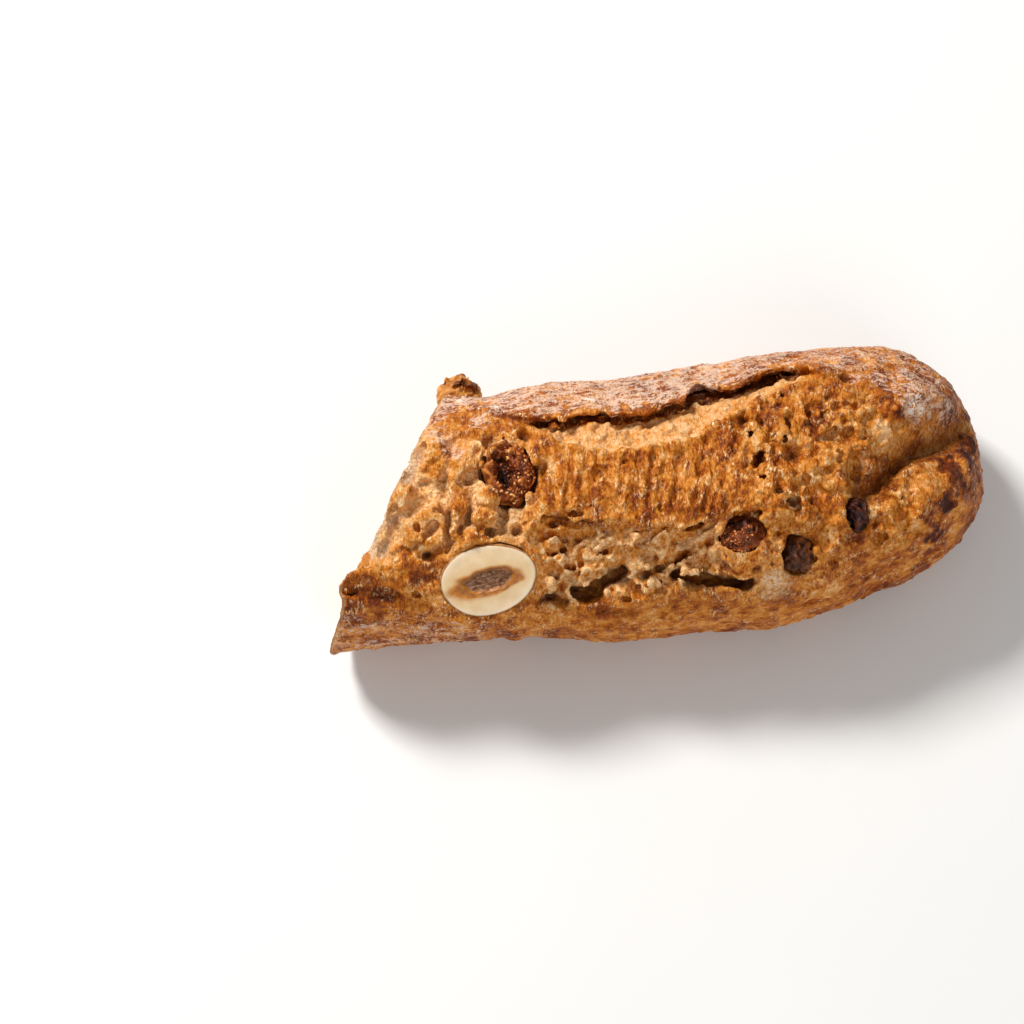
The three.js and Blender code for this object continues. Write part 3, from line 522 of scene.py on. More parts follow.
phi[w] = np.maximum(phi[w], np.minimum(opened(phi[w], 1), (base[w] - 0.3) * 4))
phi[w] = np.maximum(phi[w], np.minimum(opened(phi[w], 2), (base[w] - 0.9) * 4))

# flat underside
phi = smax(phi, np.broadcast_to(-Z.astype(F32), phi.shape), F32(0.3))
for ax in range(3):
    sl = [slice(None)] * 3
    for e in (0, -1):
        sl[ax] = e
        phi[tuple(sl)] = 3.0

def surface_nets(f, h):
    """quads of the zero surface of a field, one point in each cell that it crosses"""
    s = f < 0
    c = np.zeros([n - 1 for n in f.shape], np.uint8)
    for a in (0, 1):
        for b in (0, 1):
            for d in (0, 1):
                c += s[a:s.shape[0] - 1 + a, b:s.shape[1] - 1 + b, d:s.shape[2] - 1 + d]
    mixed = (c > 0) & (c < 8)
    idx = np.full(mixed.shape, -1, np.int32)
    I = np.argwhere(mixed)
    idx[mixed] = np.arange(len(I), dtype=np.int32)
    corner = {(a, b, d): f[I[:, 0] + a, I[:, 1] + b, I[:, 2] + d] for a in (0, 1) for b in (0, 1) for d in (0, 1)}
    acc = np.zeros((len(I), 3)); cnt = np.zeros(len(I))
    for k in corner:
        for ax in range(3):
            if k[ax]:
                continue
            q = list(k); q[ax] = 1
            va, vb = corner[k], corner[tuple(q)]
            m = (va < 0) != (vb < 0)
            t = va[m] / (va[m] - vb[m])
            p = np.tile(np.array(k, float), (int(m.sum()), 1))
            p[:, ax] += t
            acc[m] += p
            cnt[m] += 1
    V = (I + acc / cnt[:, None]) * h + np.array([GX[0], GY[0], GZ[0]])
    Q = []
    for ax in range(3):
        u, v = [(1, 2), (2, 0), (0, 1)][ax]
        lo = [slice(None)] * 3; hi = [slice(None)] * 3
        lo[ax], hi[ax] = slice(0, -1), slice(1, None)
        for k in (u, v):
            lo[k] = hi[k] = slice(1, -1)
        a, b = s[tuple(lo)], s[tuple(hi)]
        for flip, m in ((False, a & ~b), (True, ~a & b)):
            E = np.argwhere(m)
            for k in (u, v):
                E[:, k] += 1
            def cell(du, dv):
                G = E.copy(); G[:, u] -= du; G[:, v] -= dv
                return idx[G[:, 0], G[:, 1], G[:, 2]]
            q = np.stack([cell(0, 0), cell(1, 0), cell(1, 1), cell(0, 1)], 1)
            Q.append(q[:, ::-1] if flip else q)
    return V, np.concatenate(Q)

V, Q = surface_nets(phi, VOX)

# keep the one connected body
lab = np.arange(len(V))
for _ in range(200):
    m = lab[Q].min(1)
    new = lab.copy()
    np.minimum.at(new, Q.ravel(), np.repeat(m, 4))
    for _k in range(4):
        new = new[new]
    if (new == lab).all():
        break
    lab = new
names, counts = np.unique(lab, return_counts=True)
body = names[counts.argmax()]
Q = Q[lab[Q[:, 0]] == body]
used = np.unique(Q)
remap = np.full(len(V), -1); remap[used] = np.arange(len(used))
V, Q = V[used], remap[Q]
print("loaf", len(V), "points", len(Q), "faces; pieces dropped", len(names) - 1)

# ------------------------------------------------------------------ what each point of the crust is
def box_blur(a, r):
    for ax in range(3):
        c = np.cumsum(a, axis=ax, dtype=np.float32)
        n = a.shape[ax]
        hi = np.minimum(np.arange(n) + r, n - 1)
        lo = np.arange(n) - r - 1
        low = np.take(c, np.maximum(lo, 0), axis=ax)
        shape = [1, 1, 1]; shape[ax] = n
        low = low * (lo >= 0).astype(np.float32).reshape(shape)
        a = (np.take(c, hi, axis=ax) - low) / np.float32(2 * r + 1)
    return a

def sample(field, P):
    q = (P - np.array([GX[0], GY[0], GZ[0]])) / VOX
    i = np.clip(np.floor(q).astype(int), 0, np.array(field.shape) - 2)
    f = np.clip(q - i, 0, 1)
    out = 0
    for a in (0, 1):
        for b in (0, 1):
            for c in (0, 1):
                w = (f[:, 0] if a else 1 - f[:, 0]) * (f[:, 1] if b else 1 - f[:, 1]) * (f[:, 2] if c else 1 - f[:, 2])
                out = out + w * field[i[:, 0] + a, i[:, 1] + b, i[:, 2] + c]
    return out

def sample2(m, P):
    m = np.broadcast_to(m, (len(GX), len(GY)))
    q = (P[:, :2] - np.array([GX[0], GY[0]])) / VOX
    i = np.clip(np.floor(q).astype(int), 0, np.array(m.shape) - 2)
    f = np.clip(q - i, 0, 1)
    out = 0
    for a in (0, 1):
        for b in (0, 1):
            out = out + (f[:, 0] if a else 1 - f[:, 0]) * (f[:, 1] if b else 1 - f[:, 1]) * m[i[:, 0] + a, i[:, 1] + b]
    return out

def face_normals(V, Q):
    return np.cross(V[Q[:, 2]] - V[Q[:, 0]], V[Q[:, 3]] - V[Q[:, 1]]) if Q.shape[1] == 4 else np.cross(V[Q[:, 1]] - V[Q[:, 0]], V[Q[:, 2]] - V[Q[:, 0]])

def vertex_normals(V, Q):
    n = face_normals(V, Q)
    N = np.stack([sum(np.bincount(Q[:, j], weights=n[:, k], minlength=len(V)) for j in range(Q.shape[1])) for k in range(3)], 1)
    return N / np.maximum(np.linalg.norm(N, axis=1), 1e-9)[:, None]

occ = (phi < 0).astype(np.float32)
r1, r2 = max(1, round(0.9 / VOX)), max(2, round(2.8 / VOX))
k1 = (sample(box_blur(occ, r1), V) - 0.5) * 2       # fine hollows above 0, fine ridges below
k2 = (sample(box_blur(occ, r2), V) - 0.5) * 2
del occ
N = vertex_normals(V, Q)
e = 0.5
NB = np.stack([sample(base, V + d) - sample(base, V - d) for d in np.eye(3) * e], 1)
NB /= np.maximum(np.linalg.norm(NB, axis=1), 1e-6)[:, None]
depth = -sample(base, V)
x, y, z = V.T
rel = depth + sample2(D, V) * sm(20, 31, z)          # depth under the loaf's own surface
cut = cut_depth(x, y, z) + torn(y, z)
face = 1 - sm(0.15, 0.75, cut)
inner = sm(0.10, 0.6, cut) * (1 - sm(1.5, 4.0, cut)) * sm(1.2, 2.4, depth) * (1 - sm(24, 29, z) * (1 - sm(-17, -14, y)))
face = np.maximum(face, inner) * (1 - 0.9 * sm(0.15, 0.6, bell(np.hypot(y + 16.5, z - 37.6), 3.4)) * sm(34.2, 36, z))
upper = sm(19, 28, z)

YB = [(-66, 6.5), (-60, 9.0), (-54, 12.4), (-48, 15.6)] + EAR[1:-1] + [(42.6, 17.0), (50, 13.6), (58, 9.4), (66, 7.6), (73, 7.0)]
ZF = [(-80, 38.6), (-58, 38.0), (-50, 37.0), (-43, 33.0), (-36, 28.8), (-28.5, 27.6), (-17, 29.3), (-6, 30.4), (4.5, 29.4), (15.5, 28.4), (24.5, 28.0),
      (33.5, 28.6), (42.6, 30.0), (49.4, 32.4), (56, 34.5), (64, 33.0), (70, 28.0), (73, 24.0)]
nA = vnoise(V, 5.0, 1)
nB = vnoise(V, 2.2, 2)
nC = vnoise(V, 1.0, 3)
nD = vnoise(V, (1.6, 6.0, 3.0), 4)
nE = vnoise(V, (3.4, 1.3, 1.3), 5)
nF = vnoise(V, 9.0, 6)
yb = tab(x, YB)
back = np.maximum(sm(0.2, 1.1, y - yb + 0.35 * nB * (1 - sample2(ear, V))), sm(12, 18, y) * (1 - upper))
t = y - tab(x, EAR)
inslash = sample2(ear, V) * upper * sm(1.0, 1.9, depth) * (1 - sm(1.8, 3.2, t)) * sm(-2.5, -1.0, t)   # the crumb under the ear's edge
back = back * (1 - inslash)
zf = tab(x, ZF) + 0.5 * nB + 0.5 * nA
front = (1 - sm(-1.0, 1.2, z - zf)) * (1 - sm(-4, 4, y)) * (1 - back)
tip = sm(64, 70, x + 0.6 * nA)
z_strip = np.maximum(sample2(strip, V) * upper * (1 - back), inslash)
z_bloom = sample2(bloom, V) * upper
z_coarse = sample2(coarse, V) * upper * (1 - front)
z_left = sample2(left, V) * upper * (1 - front) * (1 - back)
z_right = sample2(right, V) * upper * (1 - front) * (1 - back)
t = y - tab(x, EAR)
earlip = sample2(earedge, V) * upper * sm(-0.2, 0.6, t) * (1 - sm(2.0, 3.6, t + 0.8 * nB + 0.4 * nC))
under = sm(0.0, 0.5, -(z - 1.2))

# fine relief
amp = 0.09 * nB * back + 0.10 * nE * back
disp = back * (0.11 * nE + 0.06 * nC) + z_strip * (0.16 * nC + 0.10 * nB) + z_bloom * (0.17 * nD + 0.10 * nC) + z_right * (0.14 * nB + 0.16 * nC)
disp += z_coarse * (0.18 * nB + 0.16 * nC) + z_left * (0.14 * nB + 0.12 * nC) + front * (0.12 * nE + 0.08 * nC)
rest = np.clip(1 - back - z_strip - z_bloom - z_right - z_coarse - z_left - front, 0, 1)
disp += rest * (0.12 * nB + 0.10 * nC)
disp = disp * (1 - face) * sm(0.6, 3.0, z) + face * 0.035 * nC * sm(0.3, 1.0, z)
V = V + N * disp[:, None]
V[:, 2] = np.maximum(V[:, 2], 0.0)
V[:, 2] = np.where(V[:, 2] > 45.4, 45.4 + 0.62 * (V[:, 2] - 45.4), V[:, 2])

# how well baked, floured, raw; the baking value also carries painted shade in hollows and painted highlights on ridges
# and crests
bake_and_shade = 0.50 + 0 * x
def put(m, v):
    global bake_and_shade
    bake_and_shade = bake_and_shade * (1 - m) + v * m
put(back, 0.60 + 0.05 * nA)
put(front, 0.50 + 0.07 * (1 - sm(-44, -34, x)) * sm(26, 31, z) + 0.13 * sm(34, 44, x) + 0.04 * nA)
put(z_strip, 0.12)
put(z_bloom, 0.54 + 0.06 * nD)
put(z_coarse, 0.37)
put(z_left, 0.38 + 0.05 * nA)
put(z_right, 0.48 + 0.05 * nA)
put(tip * (1 - back * 0.5), 0.66)
put(under, 0.55)
# the ear's rim: darker crust, darkened further as painted shade
put(earlip, 0.72 + 0.06 * nB)
slope_r = bell(line_dist((x, y), [(68, 3), (60, -3), (53, -9), (47, -14)]), 3.2) * upper * sm(40, 48, x)
put(slope_r, 0.44)
hollow = sm(0.15, 0.55, k1)
ridge = sm(0.10, 0.45, -k1)
# painted shade and painted highlight: hollows darker, ridges paler
bake_and_shade = bake_and_shade + 0.16 * hollow * (z_coarse + z_right + 0.6 * z_bloom + 0.5 * rest) - 0.10 * ridge * (z_coarse + z_right + z_left + z_bloom)
crest = sm(0.05, 0.5, -(k1 + 0.4 * k2))              # what stands out of its surroundings
# coarse zone: painted shade in hollows, painted highlight on crests
bake_and_shade = bake_and_shade + z_coarse * (0.16 * hollow - 0.26 * crest)
# random tone, and a painted highlight line along the bloom's ridge
bake_and_shade = bake_and_shade + (0.05 * nC + 0.06 * nB + 0.04 * nA) * (1 - z_strip) - 0.20 * bell(y - tab(x, RIDGE) + 0.2 + 0.3 * nB, 0.8) * sample2(ear, V) * upper * (1 - sm(12, 20, x))

dark = 0 * x
for px, py, pz, r in ((62.7, -1.8, 32.7, 3.8), (59.4, -9.5, 31.9, 3.4), (57.3, -15, 28.6, 3.4), (55.4, -12.8, 32.4, 2.6), (64.2, -4.7, 30.3, 3.2), (68.5, 4.0, 25.0, 3.4), (66.5, 0.5, 29.0, 2.6), (61.5, -5.5, 32.2, 2.6)):
    dark = np.maximum(dark, bell(np.sqrt((x - px)**2 + (y - py)**2 + (z - pz)**2), r))
dark = sm(0.12, 0.95, dark * (1.08 + 0.24 * nB + 0.22 * nC))
# smaller dark spots, most of them in pits and hollows (the hole at 27.6, -0.3 and the front pits among them): painted
# shade there; the patches above are darker crust
for px, py, pz, r, v in ((52, 8.5, 40.5, 3.0, 0.55), (66, 9.5, 31, 3.0, 0.5), (48, 9.5, 41.5, 2.2, 0.4), (-63, -19.4, 34, 3.2, 0.30), (-57, -18.8, 35, 2.4, 0.25), (38, 7.6, 43, 1.6, 0.4), (27.6, -0.3, 43.0, 1.9, 0.75), (38.8, 3.8, 42.0, 1.6, 0.5), (20.2, 0.0, 43.0, 1.4, 0.4)):
    dark = np.maximum(dark, v * bell(np.sqrt((x - px)**2 + (y - py)**2 + (z - pz)**2) / (1 + 0.2 * nB), r))

raw = face.copy()
# painted shade in the torn caves under the lip
cave_shade = 0 * x
for path, (inward, deep) in zip(TORN, INWARD):
    for sft in (0.15, 0.4, 0.65, 0.9):
        line = [np.array(q[:3]) + np.array(inward) * deep * sft for q in path]
        cave_shade = np.maximum(cave_shade, bell(line_dist((x, y, z), line) / (np.mean([q[3] for q in path]) + 1.0), 1.0))
cave_shade = sm(0.10, 0.75, cave_shade) * sm(-0.2, 1.8, rel)
near = 0 * x                                          # close to a fruit
for f in (FIG_TOP, FIG_SIDE, FRUIT, RAISIN):
    near = np.maximum(near, 1 - sm(1.0, 1.35, np.sqrt(sum(((V[:, k] - f["at"][k]) / (f["size"][k] + 0.4))**2 for k in range(3)))))
raw = np.maximum(raw, sm(-0.1, 2.0, rel + 0.25 * nC) * z_left * 0.80)
# coarse zone: pale crumb, more on what stands out: torn crumb, and a painted highlight on the lumps
raw = np.maximum(raw, sm(-0.3, 0.9, nB + 0.5 * nA - 1.1 * k1) * z_coarse * 0.62)
raw = np.maximum(raw, 0.50 * sm(0.6, 1.8, rel) * z_right * sm(-0.3, 0.6, nA))
raw = np.maximum(raw, 0.85 * bell(np.sqrt((x - 20.5)**2 + (y + 25.0)**2 + (z - 33.4)**2) / (1 + 0.2 * nB), 3.4))
slit = sample2(ear, V) * upper * bell(t, 3.4)
# painted shade: deep hollows, the caves, the slash gap, the ear holes, the pits listed below and the crease are marked
# for darkening
painted_shade = np.maximum(cave_shade, sm(1.2, 2.8, rel) * sm(0.25, 0.7, k1 + 0.6 * k2) * (1 - 0.7 * near) * (1 - slit) * (1 - 0.40 * z_left))
# painted shade in the slash gap under the ear
gap_shade = sm(2.9, 4.3, depth) * sample2(ear, V) * upper * sm(-3, -1, t) * (1 - sm(5, 7, t))
painted_shade = np.maximum(painted_shade, gap_shade * 0.7)
for f in EAR_HOLES:
    painted_shade = np.maximum(painted_shade, 0.9 * bell(np.sqrt(((x - f[0]) / (f[3] + 0.8))**2 + ((y - f[1]) / (f[4] + 1.0))**2 + ((z - f[2]) / 4)**2), 1.0) * sm(1.4, 2.8, depth))
for px, py, pz, r, v in ((42.6, -4.7, 41.4, 1.9, 0.85), (45.8, -3.0, 40.8, 1.6, 0.7), (57.0, 4.2, 37.2, 2.2, 0.7), (60.5, 5.4, 35.5, 2.0, 0.6), (52.5, 1.0, 38.6, 1.3, 0.5)):
    painted_shade = np.maximum(painted_shade, v * sm(0.2, 0.8, bell(np.sqrt((x - px)**2 + (y - py)**2 + ((z - pz) / 1.6)**2), r) * (1 + 0.25 * nC)))
painted_shade = np.maximum(painted_shade, 0.60 * bell(line_dist((x, y), CREASE) / (1 + 0.15 * nB), 2.8) * upper * sm(36, 44, x))

fl = back * (0.60 * (sm(-50, -44, x) * (1 - sm(20, 30, x))) + 0.42 * sm(20, 30, x) * (1 - sm(60, 68, x)) + 0.2 * sm(60, 68, x) + 0.5 * (1 - sm(-50, -44, x)))
fl = fl * (1 - 0.88 * earlip) * (0.55 + 0.45 * sm(8, 20, z))
fl = np.maximum(fl, front * (0.26 * (1 - sm(-50, -24, x)) * (1 - sm(26, 31, z)) + 0.02 * (1 - sm(10, 30, x))))
for px, py, pz, r, v in ((56.0, 10.4, 37.6, 3.3, 1.45), (60.0, 10.0, 35.4, 2.0, 0.9), (55.4, 18.9, 35.2, 3.2, 0.9), (64.5, 12.5, 31, 2.4, 0.8), (47.3, 6.3, 41.4, 1.2, 0.7), (30.5, 24.5, 36.2, 3.2, 0.7), (-48, 12.3, 41.6, 3.0, 0.8),
                         (-45, 8.2, 42.6, 2.6, 0.75), (-42.5, 22.8, 34.6, 3.4, 0.9), (-39, 15.6, 39.9, 2.2, 0.75), (-35, 18.5, 38.6, 2.4, 0.9), (20.8, -25.4, 33.2, 2.3, 0.8), (-24, -14, 40, 3, 0.3), (-6, -16, 40, 3, 0.3)):
    fl = np.maximum(fl, v * bell(np.sqrt((x - px)**2 + (y - py)**2 + (z - pz)**2), r))
flour = np.clip(fl + 0.10 * nE - 0.30 * hollow + 0.08 * ridge, 0, 1)
flour = flour * (1 - face) * (1 - painted_shade) * sm(0.02, 0.3, fl)
flour = np.maximum(flour, 0.4 * under)

crustband = sm(0.0, 1.0, -(np.abs(depth) - 1.7)) * face          # the thin crust seen on the cut
gloss = np.clip(dark + 0.3 * z_bloom + 0.35 * (1 - sm(-40, -34, x)) * front, 0, 1)

# ------------------------------------------------------------------ meshes
def mesh_piece(name, V, Q, mat, attrs=None, uv=None, node=None):
    me = bpy.data.meshes.new(name)
    P = ((V + SHIFT) * MM).astype(np.float32)
    m = Q.shape[1]
    me.vertices.add(len(P)); me.vertices.foreach_set("co", P.ravel())
    me.loops.add(Q.size); me.loops.foreach_set("vertex_index", Q.ravel().astype(np.int32))
    me.polygons.add(len(Q))
    me.polygons.foreach_set("loop_start", (np.arange(len(Q)) * m).astype(np.int32))
    me.polygons.foreach_set("use_smooth", np.ones(len(Q), bool))
    for k, v in (attrs or {}).items():
        me.attributes.new(k, "FLOAT", "POINT").data.foreach_set("value", np.clip(v, 0, 1).astype(np.float32))
    if uv is not None:
        me.uv_layers.new(name="OFBake").data.foreach_set("uv", uv.astype(np.float32).ravel())
    me.update(calc_edges=True)
    me.validate()
    o = bpy.data.objects.new(name, me)
    scene.collection.objects.link(o)
    me.materials.append(mat)
    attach(o, "root")
    if node:
        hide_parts(node)
    return o

def chart_uv(V, Q, NB):
    """box-like charts by the direction of the plain form, with a second sheet for what faces away; millimetres in a square of 252"""
    c = V[Q].mean(1)
    nb = NB[Q].mean(1)
    n = face_normals(V, Q); n /= np.maximum(np.linalg.norm(n, axis=1), 1e-9)[:, None]
    cd = cut_depth(c[:, 0], c[:, 1], c[:, 2]) + torn(c[:, 1], c[:, 2])
    chart = np.where(nb[:, 2] > 0.55, 0, np.where(nb[:, 2] < -0.75, 3, np.where(nb[:, 1] > 0, 1, 2)))
    chart = np.where((nb[:, 0] > 0.78) & (c[:, 0] > 60), 5, chart)
    chart = np.where((cd < 0.8) & (n @ CUT_N > 0.2), 4, chart)
    out = np.zeros((len(Q), 4, 2))
    S = 252.0
    dirs = {0: np.array([0, 0, 1.0]), 1: np.array([0, 1.0, 0]), 2: np.array([0, -1.0, 0]), 3: np.array([0, 0, -1.0]), 4: CUT_N, 5: np.array([1.0, 0, 0])}
    PX, PY, PZ = V[:, 0][Q], V[:, 1][Q], V[:, 2][Q]
    PS = V[:, :][Q] @ CUT_S
    flat = {0: (PX + 80, PY + 36), 1: (PX + 80, PZ + 2), 2: (PX + 80, PZ + 2), 3: (PX + 80, PY + 36), 4: (PS + 42, PZ + 2), 5: (PY + 36, PZ + 2)}
    place = {0: (0, 0), 1: (0, 73), 2: (0, 124), 3: (0, 175), 4: (158, 175), 5: (158, 124)}
    place2 = {0: (158, 0), 1: (158, 73), 2: (158, 98), 3: (158, 37), 4: (237, 37), 5: (237, 73)}
    for k in dirs:
        away = (n @ dirs[k]) < 0.02
        for sel, pl, sc in (((chart == k) & ~away, place[k], 1.0), ((chart == k) & away, place2[k], 0.5 if k < 4 else 0.18)):
            out[sel, :, 0] = (flat[k][0][sel] * sc + pl[0]) / S
            out[sel, :, 1] = (flat[k][1][sel] * sc + pl[1]) / S
    return np.clip(out, 0, 1)

# ------------------------------------------------------------------ materials
def lin(r, g, b):
    f = lambda c: (c / 255 / 12.92) if c / 255 <= 0.04045 else ((c / 255 + 0.055) / 1.055) ** 2.4
    return (f(r), f(g), f(b), 1.0)

class Shade:
    """a node tree with short calls"""
    def __init__(self, name):
        self.mat = bpy.data.materials.new(name)
        self.mat.use_nodes = True
        self.t = self.mat.node_tree
        self.t.nodes.clear()
        self.out = self.t.nodes.new("ShaderNodeOutputMaterial")
        self.p = self.t.nodes.new("ShaderNodeBsdfPrincipled")
        self.t.links.new(self.p.outputs[0], self.out.inputs[0])
        tc = self.t.nodes.new("ShaderNodeTexCoord")
        v = self.t.nodes.new("ShaderNodeVectorMath"); v.operation = "SCALE"
        v.inputs["Scale"].default_value = 1000.0
        self.t.links.new(tc.outputs["Object"], v.inputs[0])
        self.mm = v.outputs[0]
    def set(self, sock, v):
        if isinstance(v, bpy.types.NodeSocket):
            self.t.links.new(v, sock)
        else:
            sock.default_value = v
    def attr(self, name):
        n = self.t.nodes.new("ShaderNodeAttribute"); n.attribute_name = name
        return n.outputs["Fac"]
    def m(self, op, a, b=0.0, c=0.0, clamp=False):
        n = self.t.nodes.new("ShaderNodeMath"); n.operation = op; n.use_clamp = clamp
        self.set(n.inputs[0], a); self.set(n.inputs[1], b); self.set(n.inputs[2], c)
        return n.outputs[0]
    def stretch(self, s):
        n = self.t.nodes.new("ShaderNodeVectorMath"); n.operation = "MULTIPLY"
        self.t.links.new(self.mm, n.inputs[0]); n.inputs[1].default_value = s
        return n.outputs[0]
    def turn(self, vec, deg, scale):
        n = self.t.nodes.new("ShaderNodeVectorRotate"); n.rotation_type = "Z_AXIS"
        self.t.links.new(vec, n.inputs["Vector"]); n.inputs["Angle"].default_value = math.radians(deg)
        v = self.t.nodes.new("ShaderNodeVectorMath"); v.operation = "MULTIPLY"
        self.t.links.new(n.outputs[0], v.inputs[0]); v.inputs[1].default_value = scale
        return v.outputs[0]
    def noise(self, cell, detail=2.0, rough=0.5, distortion=0.0, vec=None):
        n = self.t.nodes.new("ShaderNodeTexNoise")
        self.t.links.new(vec or self.mm, n.inputs["Vector"])
        n.inputs["Scale"].default_value = 1.0 / cell
        n.inputs["Detail"].default_value = detail
        n.inputs["Roughness"].default_value = rough
        n.inputs["Distortion"].default_value = distortion
        return n.outputs["Fac"]
    def voronoi(self, cell, feature="F1", randomness=1.0, vec=None):
        n = self.t.nodes.new("ShaderNodeTexVoronoi"); n.feature = feature
        self.t.links.new(vec or self.mm, n.inputs["Vector"])
        n.inputs["Scale"].default_value = 1.0 / cell
        n.inputs["Randomness"].default_value = randomness
        return n.outputs["Distance"]
    def mix(self, f, a, b, kind="MIX"):
        n = self.t.nodes.new("ShaderNodeMix"); n.data_type = "RGBA"; n.blend_type = kind
        self.set(n.inputs[0], f); self.set(n.inputs[6], a); self.set(n.inputs[7], b)
        return n.outputs[2]
    def ramp(self, f, stops, interp="LINEAR"):
        n = self.t.nodes.new("ShaderNodeValToRGB"); r = n.color_ramp; r.interpolation = interp
        while len(r.elements) < len(stops):
            r.elements.new(0.5)
        for e, (p, c) in zip(r.elements, stops):
            e.position = p; e.color = c
        self.set(n.inputs[0], f)
        return n.outputs[0]
    def span(self, v, a, b, c=0.0, d=1.0):
        n = self.t.nodes.new("ShaderNodeMapRange"); n.interpolation_type = "SMOOTHSTEP"
        self.set(n.inputs[0], v)
        for k, q in ((1, a), (2, b), (3, c), (4, d)):
            n.inputs[k].default_value = q
        return n.outputs[0]
    def bump(self, h, dist_mm, strength=1.0, under=None):
        n = self.t.nodes.new("ShaderNodeBump")
        n.inputs["Strength"].default_value = strength
        n.inputs["Distance"].default_value = dist_mm * MM
        self.set(n.inputs["Height"], h)
        if under is not None:
            self.t.links.new(under, n.inputs["Normal"])
        return n.outputs[0]
    def finish(self, color, rough, normal=None, **uniform):
        self.set(self.p.inputs["Base Color"], color)
        self.set(self.p.inputs["Roughness"], rough)
        if normal is not None:
            self.t.links.new(normal, self.p.inputs["Normal"])
        for k, v in uniform.items():
            self.p.inputs[k.replace("_", " ")].default_value = v
        return self.mat

BAKE = [(0.0, lin(238, 190, 136)), (0.16, lin(226, 160, 90)), (0.33, lin(212, 135, 48)), (0.48, lin(190, 107, 22)),
        (0.62, lin(160, 80, 12)), (0.80, lin(116, 48, 5)), (1.0, lin(66, 24, 6))]

